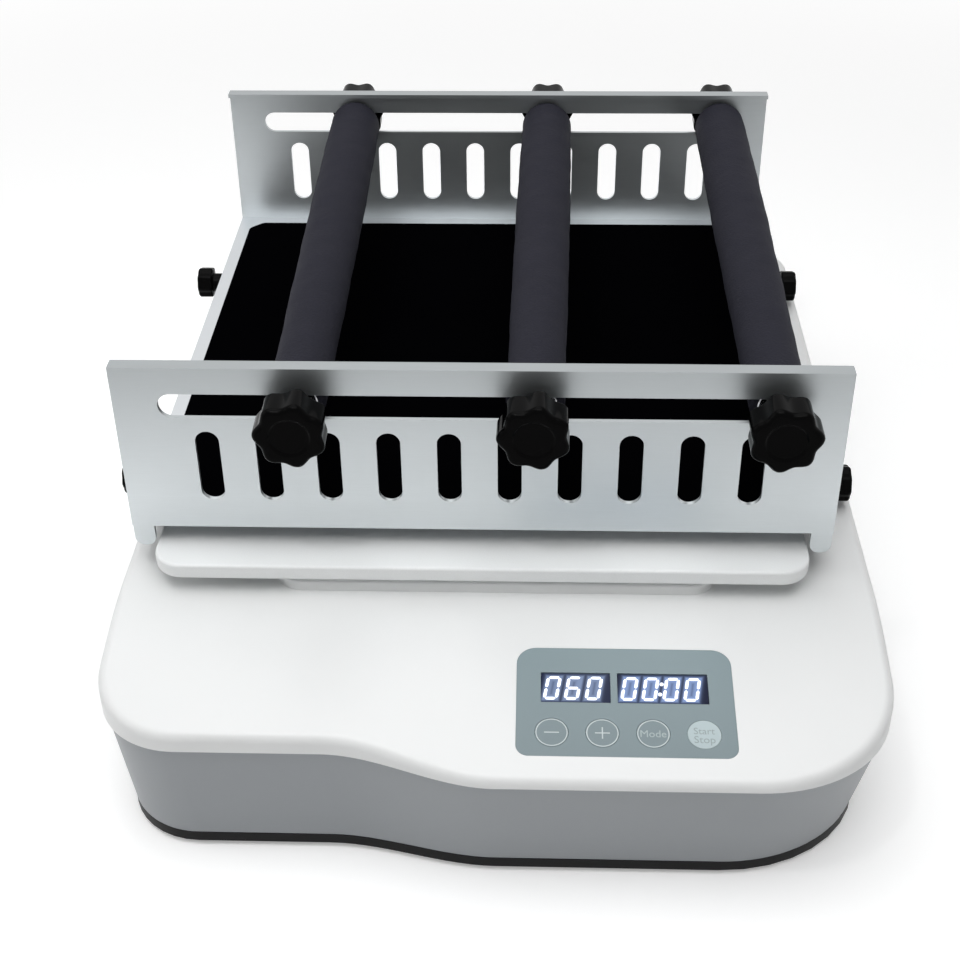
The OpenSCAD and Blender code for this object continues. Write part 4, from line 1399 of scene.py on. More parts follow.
@dataclass
class BodyForm:
    """Outline and heights that the housings share."""

    body_w: float = 326.0
    front_reach: float = 250.0
    rear_reach: float = 180.0
    front_step: float = 17.3
    step_from: float = 68.0
    step_to: float = 2.0
    side_draft: float = 5.0
    left_front_draft: float = 6.5
    right_front_draft: float = 12.5
    left_corner: float = 36.0
    right_corner: Pair = (58.0, 51.0)
    rear_corner: float = 30.0
    lip: float = 1.0
    wall: float = 3.0
    base_top: float = 8.0
    parting_h: float = 62.0
    deck_h: float = 85.0
    front_edge_h: float = 66.6
    slope: float = math.radians(12.6)
    shoulder: float = 4.5
    corner_draft: Triple = (3.0, 5.0, 4.0)
    inlet_in: float = 53.0
    inlet_z: float = 34.0
    switch_back: float = 66.0
    switch_z: float = 31.0
    crease: float = 18.0
    crease_steps: int = 6
    corner_steps: int = 22
    curve_steps: int = 40
    spindle: Vector = field(default_factory=lambda: middle("driven_pulley"))

    @property
    def front_y(self) -> float:
        """Front edge of the right half."""
        return self.spindle.y - self.front_reach

    @property
    def break_y(self) -> float:
        """Where the slope meets the deck."""
        return self.front_y + (self.deck_h - self.front_edge_h) / math.tan(self.slope)

    @property
    def rear_wall(self) -> Matrix:
        """Frame on the rear wall at the mains inlet, with Z off the wall."""
        x = self.spindle.x - self.body_w / 2 + self.inlet_in
        at = (x, self.spindle.y + self.rear_reach - self.lip, self.inlet_z)
        return Matrix.Translation(at) @ Matrix.Rotation(math.pi, 4, "Z") @ UPRIGHT

    @property
    def right_wall(self) -> Matrix:
        """Frame on the right wall at the power switch, with Z off the wall."""
        rise = (self.switch_z - self.base_top) / (self.parting_h - self.base_top)
        half = self.body_w / 2 - self.lip - self.side_draft
        tilt = math.atan(self.side_draft / (self.parting_h - self.base_top))
        x = self.spindle.x + half + self.side_draft * rise
        at = (x, self.front_y + self.switch_back, self.switch_z)
        stand = Matrix.Rotation(math.pi / 2, 4, "Z") @ UPRIGHT
        return Matrix.Translation(at) @ Matrix.Rotation(tilt, 4, "Y") @ stand

    def outline(self, level: float, overhang: float = 0.0) -> list[Point]:
        """Outline at a level, 1 at the parting line and 0 at the base.

        Args:
            level: The level.
            overhang: How far the lip stands out.

        Returns:
            The points, anticlockwise from the left side.
        """
        half = self.body_w / 2 - self.lip + overhang - self.side_draft * (1 - level)
        left, right = self.spindle.x - half, self.spindle.x + half
        edge = self.lip - overhang
        low_r = self.front_y + edge + self.right_front_draft * (1 - level)
        low_l = self.front_y + self.front_step + edge + self.left_front_draft * (1 - level)
        back = self.spindle.y + self.rear_reach - edge
        cl = self.left_corner - self.corner_draft[0] * (1 - level)
        cw = self.right_corner[0] + self.corner_draft[1] * (1 - level)
        cd = self.right_corner[1] + self.corner_draft[2] * (1 - level)
        start, end = self.spindle.x - self.step_from, self.spindle.x + self.step_to
        reach = self.crease * (0.6 + 0.4 * level)
        stations = [
            self.break_y + reach * (1 - 2 * j / self.crease_steps)
            for j in range(self.crease_steps + 1)
        ]
        curve = []
        for i in range(self.curve_steps + 1):
            t = i / self.curve_steps
            curve.append((start + (end - start) * t, low_l + (low_r - low_l) * t * t * (3 - 2 * t)))
        n, r = self.corner_steps, self.rear_corner
        return (
            [(left, y) for y in stations]
            + arc((left + cl, low_l + cl), cl, cl, 180, n)
            + curve
            + arc((right - cw, low_r + cd), cw, cd, 270, n)
            + [(right, y) for y in reversed(stations)]
            + arc((right - r, back - r), r, r, 0, n)
            + arc((left + r, back - r), r, r, 90, n)
        )

    def top_z(self, y: float) -> float:
        """Height of the cover, with a soft crease between slope and deck.

        Args:
            y: Where it is wanted.

        Returns:
            The height.
        """
        d = y - self.break_y
        rise = math.tan(self.slope)
        if d <= -self.crease:
            return self.deck_h + d * rise
        if d >= self.crease:
            return self.deck_h
        return self.deck_h - rise * (self.crease - d) ** 2 / (4 * self.crease)

    def cap(self, shape: Shape, ring: list[int], down: bool) -> None:
        """Fills the top: one face on the slope, strips over the crease, one face on the deck.

        Args:
            shape: The shape.
            ring: Numbers of the last ring's points.
            down: Whether the faces look down.
        """
        n = self.crease_steps
        right_start = n + 1 + 2 * (self.corner_steps + 1) + self.curve_steps + 1
        left = ring[: n + 1]
        right = ring[right_start : right_start + n + 1][::-1]
        faces = [ring[n : right_start + 1], ring[right_start + n :] + [ring[0]]]
        faces += [[left[j], left[j + 1], right[j + 1], right[j]] for j in range(n)]
        shape.faces += [f[::-1] if down else f for f in faces]


@dataclass
class Housings(Assembly):
    """Top cover, lower housing, base plate, feet and case screws."""

    form: BodyForm
    shoulder_steps: int = 8
    # Width, depth and corner radius
    plinth: Triple = (190.0, 314.0, 12.0)
    plinth_rise: float = 5.0
    plinth_edge: float = 1.2
    hole_r: float = 16.95
    follower: Pair = (72.0, 120.0)
    boss_r: float = 5.0
    pilot_r: float = 2.0
    screw_r: float = 2.15
    # Radius and height of the head
    screw_head: Pair = (3.8, 2.6)
    # Reach and thickness
    rib: Pair = (24.0, 3.0)
    # Diameter and height, then radius and height of the hollow sole and of the plug
    foot: Pair = (24.0, 3.0)
    sole: Pair = (7.2, 0.6)
    plug: Pair = (4.0, 3.0)
    # Half width and half height
    inlet_hole: Pair = (13.75, 10.25)
    switch_hole: Pair = (6.8, 9.6)
    panel: "PanelFrame" = field(default_factory=lambda: PanelFrame())

    def __post_init__(self) -> None:
        """Reads the screws' places from the frame."""
        self.screws = [((low + high) / 2, low, high) for low, high in solids("case_screws")]

    def build(self) -> None:
        """Makes all pieces."""
        self.make_cover()
        self.make_lower()
        self.make_base()
        self.make_feet()
        self.make_screws()

    def at_screws(self, radius: float, low: float, high: float) -> Shape:
        """Round posts or cutters at the case screws.

        Args:
            radius: Their radius.
            low: Their lower end.
            high: Their upper end.

        Returns:
            The shape.
        """
        posts = Shape()
        for place, _, _ in self.screws:
            posts.lathe([(radius, low), (radius, high)], middle=place)
        return posts

    def make_cover(self) -> None:
        """White cover: skin with its shoulder, plinth, openings and screw bosses."""
        form, shape = self.form, Shape()
        rim = form.outline(1, form.lip)
        edge = inset(rim, form.shoulder)
        outer = [
            [(*p, form.parting_h) for p in inset(rim, 0.3)],
            [(*p, form.parting_h + 0.1) for p in rim],
        ]
        for drop, reach in edge_curve(form.shoulder, self.shoulder_steps):
            ring = inset(rim, reach)
            outer.append([(*p, form.top_z(e[1]) - drop) for p, e in zip(ring, edge)])
        hollow = inset(form.outline(1), form.wall)
        inner = [
            [(*p, form.parting_h) for p in hollow],
            [(*p, form.top_z(p[1]) - form.wall) for p in hollow],
        ]
        outside = shape.loft(outer, capped=False)
        inside = shape.loft(inner, capped=False)
        form.cap(shape, outside[-1], False)
        form.cap(shape, inside[-1], True)
        shape.bridge(inside[0], outside[0])
        cover = shape.build("cover_shell")
        plan = rounded_box(form.spindle, *self.plinth[:2], [self.plinth[2]])
        under = form.deck_h - form.wall
        top = form.deck_h + self.plinth_rise
        combined(cover, Shape().slab([plan], under, top, self.plinth_edge), "UNION")
        posts = Shape()
        for place, _, _ in self.screws:
            ceiling = form.top_z(place.y) - form.wall / 2
            posts.lathe([(self.boss_r, form.parting_h), (self.boss_r, ceiling)], middle=place)
        combined(cover, posts, "UNION")
        room = Shape().slab([inset(plan, form.wall)], under - 1, top - form.wall)
        combined(cover, room, "DIFFERENCE")
        cuts = self.at_screws(self.pilot_r, form.parting_h - 1, self.screws[0][2].z + 0.5)
        offsets = [(a * self.follower[0], b * self.follower[1]) for a in (-1, 1) for b in (-1, 1)]
        for x, y in [(0, 0)] + offsets:
            at = form.spindle + Vector((x, y, 0))
            cuts.lathe([(self.hole_r, under), (self.hole_r, top + 1)], 64, middle=at)
        combined(cover, cuts, "DIFFERENCE")
        recess = Shape().slab([self.panel.outline(0.0)], -self.panel.film_t, 2)
        combined(cover, recess, "DIFFERENCE", self.panel.matrix)
        windows = Shape()
        for loop in self.panel.windows(0.1, self.panel.key_hole_r):
            windows.slab([loop], -2 * form.wall, 2)
        combined(cover, windows, "DIFFERENCE", self.panel.matrix)
        self.hand_over(smoothed(cover), COVER_WHITE, "top_cover")

    def make_lower(self) -> None:
        """Grey lower housing: drafted wall with its bosses, ribs and two openings."""
        form, shape = self.form, Shape()
        low, high = form.base_top, form.parting_h
        steps = [0.0, 0.15, 0.3, 0.5, 0.7, 0.85, 1.0]
        outer = [[(*p, low) for p in inset(form.outline(0), 0.5)]]
        outer += [[(*p, low + 0.15) for p in inset(form.outline(0), 0.15)]]
        outer += [[(*p, max(low + (high - low) * t, low + 0.5)) for p in form.outline(t)] for t in steps]
        inner = [
            [(*p, low + (high - low) * t) for p in inset(form.outline(t), form.wall)]
            for t in (1.0, 0.0)
        ]
        shape.loft(outer + inner, closed=True)
        housing = shape.build("lower_shell")
        combined(housing, self.at_screws(self.boss_r, low, high), "UNION")
        ribs = Shape()
        reach, half = self.rib[0], self.rib[1] / 2
        for place, _, _ in self.screws:
            side = [math.copysign(1, place[i] - form.spindle[i]) for i in (0, 1)]
            turn = Matrix.Rotation(math.atan2(side[1], side[0]), 4, "Z")
            rib = Shape().box((self.boss_r - 1, -half, low), (reach, half, high))
            ribs.add(rib.moved(Matrix.Translation((place.x, place.y, 0)) @ turn))
        inside = Shape()
        inside.loft([[(*p, z) for p in inset(form.outline(t), 1)] for t, z in ((0, low), (1, high))])
        combined(housing, combined(ribs.build("ribs"), inside, "INTERSECT"), "UNION")
        combined(housing, self.at_screws(self.screw_r, low - 1, high + 1), "DIFFERENCE")
        for wall, (x, y) in ((form.rear_wall, self.inlet_hole), (form.right_wall, self.switch_hole)):
            cut = Shape().box((-x, -y, -3 * form.wall), (x, y, form.wall))
            combined(housing, cut, "DIFFERENCE", wall)
        self.hand_over(smoothed(housing), HOUSING_GREY, "lower_housing")

    def make_base(self) -> None:
        """Black base plate."""
        base = smoothed(node_copy("base_plate", "base_panel"), bevel=0.5)
        self.hand_over(base, BASE_BLACK, "base_plate")

    def make_feet(self) -> None:
        """Rubber feet with a hollow sole."""
        r, h = self.foot[0] / 2, self.foot[1]
        (sole_r, deep), (plug_r, plug_h) = self.sole, self.plug
        profile = [
            (0, deep), (sole_r, deep), (sole_r + deep, 0.0), (r - 0.8, 0.0), (r, 0.8), (r, h),
            (plug_r, h), (plug_r, h + plug_h), (0, h + plug_h),
        ]
        foot = Shape().lathe(softened_path(profile, 0.5, closed=False), 64)
        self.hand_copies("feet", foot, stands("rubber_feet"), FOOT_RUBBER, "rubber_feet")

    def make_screws(self) -> None:
        """Case screws with hexagon sockets, heads down."""
        low, high = self.screws[0][1].z, self.screws[0][2].z
        head_r, head_h = self.screw_head
        screw = socket_screw(self.pilot_r, high - low - head_h, head_r, head_h)
        self.hand_copies("case_bolts", screw, stands("case_screws"), ZINC_STEEL, "case_screws")


def socket_screw(shank_r: float, length: float, head_r: float, head_h: float, steps: int = 24) -> Shape:
    """Screw with its head below and a hexagon socket.

    Args:
        shank_r: Radius of the shank.
        length: Length of the shank.
        head_r: Radius of the head.
        head_h: Height of the head.
        steps: Steps round its axis, a multiple of six.

    Returns:
        The screw, upwards along the Z axis from the outer face of its head.
    """
    angles = [math.tau * i / steps for i in range(steps)]
    plain = [1.0] * steps
    flats = [math.cos(math.pi / 6) / math.cos(a % (math.pi / 3) - math.pi / 6) for a in angles]
    socket, soft, tip = head_r * 0.5, 0.4, 0.5
    rings = [
        (socket, head_h * 0.6, flats), (socket, 0.1, flats), (socket * 1.08, 0.0, flats),
        (head_r - soft, 0.0, plain), (head_r, soft, plain), (head_r, head_h, plain),
        (shank_r, head_h, plain), (shank_r, head_h + length - tip, plain),
        (shank_r - tip, head_h + length, plain),
    ]
    shape = Shape()
    shape.loft(
        [(r * k * math.cos(a), r * k * math.sin(a), z) for k, a in zip(form, angles)]
        for r, z, form in rings
    )
    return shape


@dataclass
class PanelFrame:
    """Place and sizes of the control panel, whose frame lies on the slope."""

    width: float = 87.6
    height: float = 52.4
    film_t: float = 1.0
    back: float = 36.9
    right: float = 53.7
    low_r: float = 5.0
    top_r: float = 8.0
    display_h: float = 14.5
    # Centre and width of each display
    displays: tuple[Pair, ...] = ((-19.8, 28.0), (15.4, 36.5))
    display_down: float = 19.6
    key_down: float = 41.3
    key_d: float = 13.0
    key_hole_r: float = 6.8
    key_pitch: float = 20.1
    key_shift: float = 0.6
    form: BodyForm = field(default_factory=BodyForm)

    @property
    def display_y(self) -> float:
        """Height of the displays' centres."""
        return self.height / 2 - self.display_down

    @property
    def keys(self) -> list[Pair]:
        """Centres of the keys."""
        y = self.height / 2 - self.key_down
        return [(self.key_shift + (i - 1.5) * self.key_pitch, y) for i in range(4)]

    @property
    def matrix(self) -> Matrix:
        """Frame of the panel: Z off the surface and Y up the slope."""
        form = self.form
        z = form.front_edge_h + self.back * math.tan(form.slope)
        at = (form.spindle.x + self.right, form.front_y + self.back, z)
        return Matrix.Translation(at) @ Matrix.Rotation(form.slope, 4, "X")

    def outline(self, shrink: float) -> list[Point]:
        """Outline of the overlay."""
        size = (self.width - 2 * shrink, self.height - 2 * shrink)
        return rounded_box((0, 0), *size, (self.low_r, self.top_r), 10)

    def windows(self, gap: float, key_r: float) -> list[list[Point]]:
        """Windows of the displays and keys, anticlockwise.

        Args:
            gap: Gap round the displays.
            key_r: Radius of the keys' windows.

        Returns:
            The loops.
        """
        made = [
            rounded_box((x, self.display_y), w + 2 * gap, self.display_h + 2 * gap, [0.25], 3)
            for x, w in self.displays
        ]
        return made + [circle(key, key_r, 64) for key in self.keys]


class Segment(Enum):
    """Segments of a digit, as their ends in half widths and half heights."""

    TOP = ((-1, 1), (1, 1))
    TOP_LEFT = ((-1, 0), (-1, 1))
    TOP_RIGHT = ((1, 0), (1, 1))
    MIDDLE = ((-1, 0), (1, 0))
    LOW_LEFT = ((-1, -1), (-1, 0))
    LOW_RIGHT = ((1, -1), (1, 0))
    LOW = ((-1, -1), (1, -1))


DIGIT_SEGMENTS: dict[str, list[Segment]] = {
    "0": [s for s in Segment if s is not Segment.MIDDLE],
    "6": [s for s in Segment if s is not Segment.TOP_RIGHT],
}


@dataclass
class ControlPanel(Assembly):
    """Film, displays with their digits, and the four keys with their prints."""

    panel: PanelFrame
    display_top: float = -0.6
    board_top: float = -9.6
    # Width and height
    digit: Pair = (6.1, 11.5)
    stroke: float = 1.3
    stroke_gap: float = 0.16
    digit_t: float = 0.08
    # Radius of its dots and their distance from the middle
    colon: Pair = (0.85, 2.5)
    lean: float = DIGIT_LEAN
    key_gap: float = 0.15
    # Radius and depths of a key's stem and flange
    stem: Pair = (2.0, 5.0)
    flange: Triple = (7.7, 4.3, 3.3)
    shank_r: float = 6.5
    print_t: float = 0.03
    # Inner and outer radius, then half sizes of a sign and of its lines
    print_ring: Pair = (5.95, 6.38)
    sign: Pair = (2.95, 2.7)
    sign_line: float = 0.24
    # Words with their heights, then the width of a word on the start and on the mode key
    start_words: tuple[tuple[str, float], ...] = (("Start", 1.65), ("Stop", -2.35))
    start_w: float = 8.3
    mode_w: float = 10.2

    def build(self) -> None:
        """Makes all pieces."""
        panel = self.panel
        windows = panel.windows(0.06, panel.key_d / 2 + 0.22)
        loops = [panel.outline(0.04)] + [loop[::-1] for loop in windows]
        film = Shape().slab(loops, -panel.film_t, 0, 0.12).build("panel_film", panel.matrix)
        self.hand_over(self.mapped(smoothed(film)), PANEL_FILM, "panel_overlay")
        rows = (("speed", "060", SPEED_GLASS), ("timer", "00:00", TIMER_GLASS))
        for (x, width), (name, text, glass) in zip(panel.displays, rows):
            self.make_display(x, width, name, text, glass)
        for i, name in enumerate(("minus", "plus", "mode", "start")):
            self.make_key(i, name)

    def mapped(self, piece: Piece, centre: Point = (0, 0)) -> Piece:
        """Gives a piece a UV map: its place on the panel in decimetres.

        Args:
            piece: The piece.
            centre: Where the map is zero, in millimetres.

        Returns:
            The piece.
        """
        back = self.panel.matrix.inverted()
        layer = piece.data.uv_layers.new(name="panel")
        for loop in piece.data.loops:
            p = back @ (piece.data.vertices[loop.vertex_index].co / MM)
            layer.data[loop.index].uv = ((p.x - centre[0]) / 100, (p.y - centre[1]) / 100)
        return piece

    def make_display(self, x: float, width: float, name: str, text: str, glass: DisplayGlass) -> None:
        """One display: its lens and its lit digits.

        Args:
            x: Its centre.
            width: Its width.
            name: Its name.
            text: What it shows.
            glass: Finish of the lens, which also says where the digits stand.
        """
        panel, y = self.panel, self.panel.display_y
        loop = rounded_box((x, y), width, panel.display_h, [0.2], 3)
        lens = Shape().slab([loop], self.board_top, self.display_top, 0.1)
        lens = smoothed(lens.build(f"{name}_lens", panel.matrix))
        self.hand_over(self.mapped(lens, (x, y)), glass, f"{name}_display")
        digits = Shape()
        levels = (self.display_top, self.display_top + self.digit_t)
        dot_r, dot_y = self.colon
        at = x + glass.centre - (glass.digits - 1) / 2 * glass.pitch
        for sign in text:
            if sign == ":":
                for side in (-1, 1):
                    spot = (at - glass.pitch / 2 + side * dot_y * self.lean, y + side * dot_y)
                    digits.slab([circle(spot, dot_r, 20)], *levels)
                continue
            for segment in DIGIT_SEGMENTS[sign]:
                digits.slab([self.bar(segment, at, y)], *levels)
            at += glass.pitch
        piece = digits.build(f"{name}_digits", panel.matrix)
        self.hand_over(smoothed(piece), LIT, body="base")

    def bar(self, segment: Segment, x: float, y: float) -> list[Point]:
        """Outline of a lit segment, with pointed ends and the lean of the digit.

        Args:
            segment: Which segment.
            x: Centre of the digit.
            y: Centre of the digit.

        Returns:
            Its outline, anticlockwise.
        """
        half = Vector(((self.digit[0] - self.stroke) / 2, (self.digit[1] - self.stroke) / 2))
        a, b = (Vector((end[0] * half.x, end[1] * half.y)) for end in segment.value)
        along = (b - a).normalized()
        across = Vector((-along.y, along.x)) * self.stroke / 2
        a, b = a + along * self.stroke_gap, b - along * self.stroke_gap
        tip = along * self.stroke / 2
        corners = [a, a + tip - across, b - tip - across, b, b - tip + across, a + tip + across]
        soft = softened_path(corners, 0.4, 2)
        return [(x + p[0] + p[1] * self.lean, y + p[1]) for p in soft]

    def make_key(self, i: int, name: str) -> None:
        """One key with its print.

        Args:
            i: Its place in the row.
            name: Its name.
        """
        panel, at, body = self.panel, self.panel.keys[i], f"key_{name}"
        r, soft = panel.key_d / 2 + self.key_gap, 0.12
        (stem_r, foot), (flange_r, low, high), shank_r = self.stem, self.flange, self.shank_r
        profile = [
            (0, -foot), (stem_r, -foot), (stem_r, -low), (flange_r, -low), (flange_r, -high),
            (shank_r, -high), (shank_r, -1.2), (r, -panel.film_t), (r, -soft), (r - soft, 0), (0, 0),
        ]
        key = Shape().lathe(profile, 64, middle=at).build(f"{name}_key", panel.matrix)
        light = name == "start"
        self.hand_over(self.mapped(smoothed(key)), KEY_FILM_LIGHT if light else KEY_FILM, body)
        if light:
            for word, rise in self.start_words:
                spot, title = (at[0], at[1] + rise), f"{name}_{word.lower()}_word"
                self.print_word(title, word, spot, self.start_w, GREY_INK, body)
            return
        inner, outer = self.print_ring
        ring = [(inner, 0), (outer, 0), (outer, self.print_t), (inner, self.print_t)]
        mark = Shape().lathe(ring, 72, closed=True, middle=at)
        if name == "mode":
            self.print_word(f"{name}_word", "Mode", at, self.mode_w, SOFT_INK, body)
        else:
            mark.slab([self.sign_outline(at, name == "plus")], 0, self.print_t)
        self.hand_over(smoothed(mark.build(f"{name}_print", panel.matrix)), LIGHT_INK, body=body)

    def sign_outline(self, at: Point, upright: bool) -> list[Point]:
        """Outline of a minus or a plus.

        Args:
            at: Its centre.
            upright: Whether it has an upright line, as a plus has.

        Returns:
            Its points, anticlockwise.
        """
        (w, h), t = self.sign, self.sign_line
        if not upright:
            return rounded_box(at, 2 * w, 2 * t, [0.1], 2)
        corners = (
            (-w, -t), (-t, -t), (-t, -h), (t, -h), (t, -t), (w, -t),
            (w, t), (t, t), (t, h), (-t, h), (-t, t), (-w, t),
        )
        return [(at[0] + x, at[1] + y) for x, y in corners]

    def print_word(
        self, name: str, word: str, at: Point, width: float, ink: Finish, body: str
    ) -> None:
        """Prints a word on a key.

        Args:
            name: Name of the piece.
            word: The word.
            at: Its centre on the panel.
            width: Its width.
            ink: Its finish.
            body: The key's body.
        """
        curve, half = bpy.data.curves.new(name, "FONT"), 0.004
        curve.body, curve.extrude, curve.resolution_u = word, half, 3
        text = linked(name, curve)
        depsgraph = bpy.context.evaluated_depsgraph_get()
        mesh = bpy.data.meshes.new_from_object(text.evaluated_get(depsgraph))
        bpy.data.objects.remove(text)
        xs, ys = [v.co.x for v in mesh.vertices], [v.co.y for v in mesh.vertices]
        wide = width / (max(xs) - min(xs))
        size = Matrix.Diagonal((wide, wide, self.print_t / (2 * half), 1))
        move = Matrix.Translation((at[0], at[1], self.print_t / 2)) @ size
        move = move @ Matrix.Translation((-(max(xs) + min(xs)) / 2, -max(ys) / 2, 0))
        mesh.transform(Matrix.Scale(MM, 4) @ self.panel.matrix @ move)
        self.hand_over(merged(linked(name, mesh), faces=False), ink, body=body)


@dataclass
class PowerFittings(Assembly):
    """Mains inlet with its pins, and the power switch with its rocker and marks."""

    form: BodyForm
    pins: tuple[Pair, ...] = ((-7.0, -2.0), (0.0, 2.0), (7.0, -2.0))
    # Width, height, inner and outer end
    pin: tuple[float, float, float, float] = (2.1, 4.1, -15.5, -2.95)
    rocker_tilt: float = math.radians(8)
    rocker_pivot: float = -1.0
    # Rise of its faces over their length
    rocker_rise: Pair = (0.7, 7.6)
    mark_y: float = 4.4
    # Width and length of the line, then outer and inner radius of the ring
    mark_line: Pair = (0.7, 3.0)
    mark_ring: Pair = (1.7, 1.15)
    mark_levels: Pair = (3.05, 3.2)
    mark_sink: float = 0.55

    def build(self) -> None:
        """Makes all pieces."""
        self.make_copy("mains_inlet", "inlet_shell", 0.35)
        pins = Shape()
        w, h, low, high = self.pin
        for x, y in self.pins:
            pins.slab([rounded_box((x, y), w, h, [0.5], 3)], low, high, 0.4)
        blades = smoothed(pins.build("inlet_blades", self.form.rear_wall))
        self.hand_over(blades, ZINC_STEEL, body="base")
        self.make_copy("switch_housing", "switch_bezel", 0.35)
        self.make_copy("power_rocker", "rocker_cap", 0.5)
        self.make_marks()

    def make_copy(self, node: str, name: str, bevel: float) -> None:
        """One black fitting in its CAD form, with rounded edges."""
        self.hand_over(smoothed(node_copy(node, name), bevel=bevel), FITTING_BLACK, node)

    def make_marks(self) -> None:
        """Line and ring on the two faces of the rocker."""
        y, (outer, inner) = self.mark_y, self.mark_ring
        marks = Shape().slab([rounded_box((0, y), *self.mark_line, [0.2], 2)], *self.mark_levels)
        marks.slab([circle((0, -y), outer, 32), circle((0, -y), inner, 32)[::-1]], *self.mark_levels)
        slope = self.rocker_rise[0] / self.rocker_rise[1]
        for p in marks.points:
            p.z += slope * abs(p.y) - self.mark_sink
        pivot = self.form.right_wall @ Matrix.Translation((0, 0, self.rocker_pivot))
        matrix = pivot @ Matrix.Rotation(self.rocker_tilt, 4, "X")
        self.hand_over(smoothed(marks.build("rocker_marks", matrix)), MARK_INK, body="rocker")


@dataclass
class DriveTrain(Assembly):
    """Hidden drive: its bearings are made anew, and the rest keeps its CAD form."""

    # Node, then outer radius, radius of the bore and width
    bearings: tuple[tuple[str, Triple], ...] = (
        ("post_bearings", (11.0, 4.0, 7.0)),
        ("spindle_bearings", (14.0, 6.0, 8.0)),
        ("plate_bearings", (9.5, 4.0, 6.0)),
    )
    # Share of the wall that each ring takes
    land: float = 0.22

    def build(self) -> None:
        """Makes the ball bearings with their shields."""
        soft, slope, deep = 0.3, 0.2, 0.5
        for node, (outer, bore, width) in self.bearings:
            land = (outer - bore) * self.land
            profile = [
                (outer - soft, 0), (outer, soft), (outer, width - soft), (outer - soft, width),
                (outer - land, width), (outer - land - slope, width - deep),
                (bore + land + slope, width - deep), (bore + land, width),
                (bore + soft, width), (bore, width - soft), (bore, soft), (bore + soft, 0),
                (bore + land, 0), (bore + land + slope, deep),
                (outer - land - slope, deep), (outer - land, 0),
            ]
            ring = Shape().lathe(profile, 48, closed=True)
            self.hand_copies(f"{node}_set", ring, stands(node), BEARING_STEEL, node)

    def dress_rest(self) -> None:
        """Gives every CAD node that still shows its procedural finish."""
        for name, node in NODES.items():
            if not node.hide_render:
                node.data.materials.clear()
                node.data.materials.append(FINISHES[SLOT_OF[name]].material())
                LOG.info("%s keeps its CAD form, finish %s", name, SLOT_OF[name])


@dataclass
class WorkingPlate(Assembly):
    """White plate on the drive, and the rubber spacers between it and the tray."""

    radius: float = 13.0
    edge: float = 1.3
    # Radius and depth, then radius and height
    pocket: Pair = (9.5, 6.0)
    spacer: Pair = (9.0, 9.0)
    waist: float = 1.2
    soft: float = 1.0

    def build(self) -> None:
        """Makes all pieces."""
        node = "working_plate"
        low, high = corner(node), corner(node, True)
        plan = rounded_box(middle(node), high.x - low.x, high.y - low.y, [self.radius], 12)
        plate = Shape().slab([plan], low.z, high.z, self.edge, 4).build("carrier_plate")
        cuts = Shape()
        r, deep = self.pocket
        for a, b in solids("plate_bearings"):
            cuts.lathe([(r, low.z - 1), (r, low.z + deep)], 64, middle=(a + b) / 2)
        combined(plate, cuts, "DIFFERENCE")
        self.hand_over(smoothed(plate), PLATE_WHITE, node)
        r, h = self.spacer
        corners = [(0, 0), (r, 0), (r - self.waist, h / 2), (r, h), (0, h)]
        spacer = Shape().lathe(softened_path(corners, self.soft, closed=False), 48)
        node = "tray_spacers"
        self.hand_copies("rubber_spacers", spacer, stands(node), FITTING_BLACK, node)


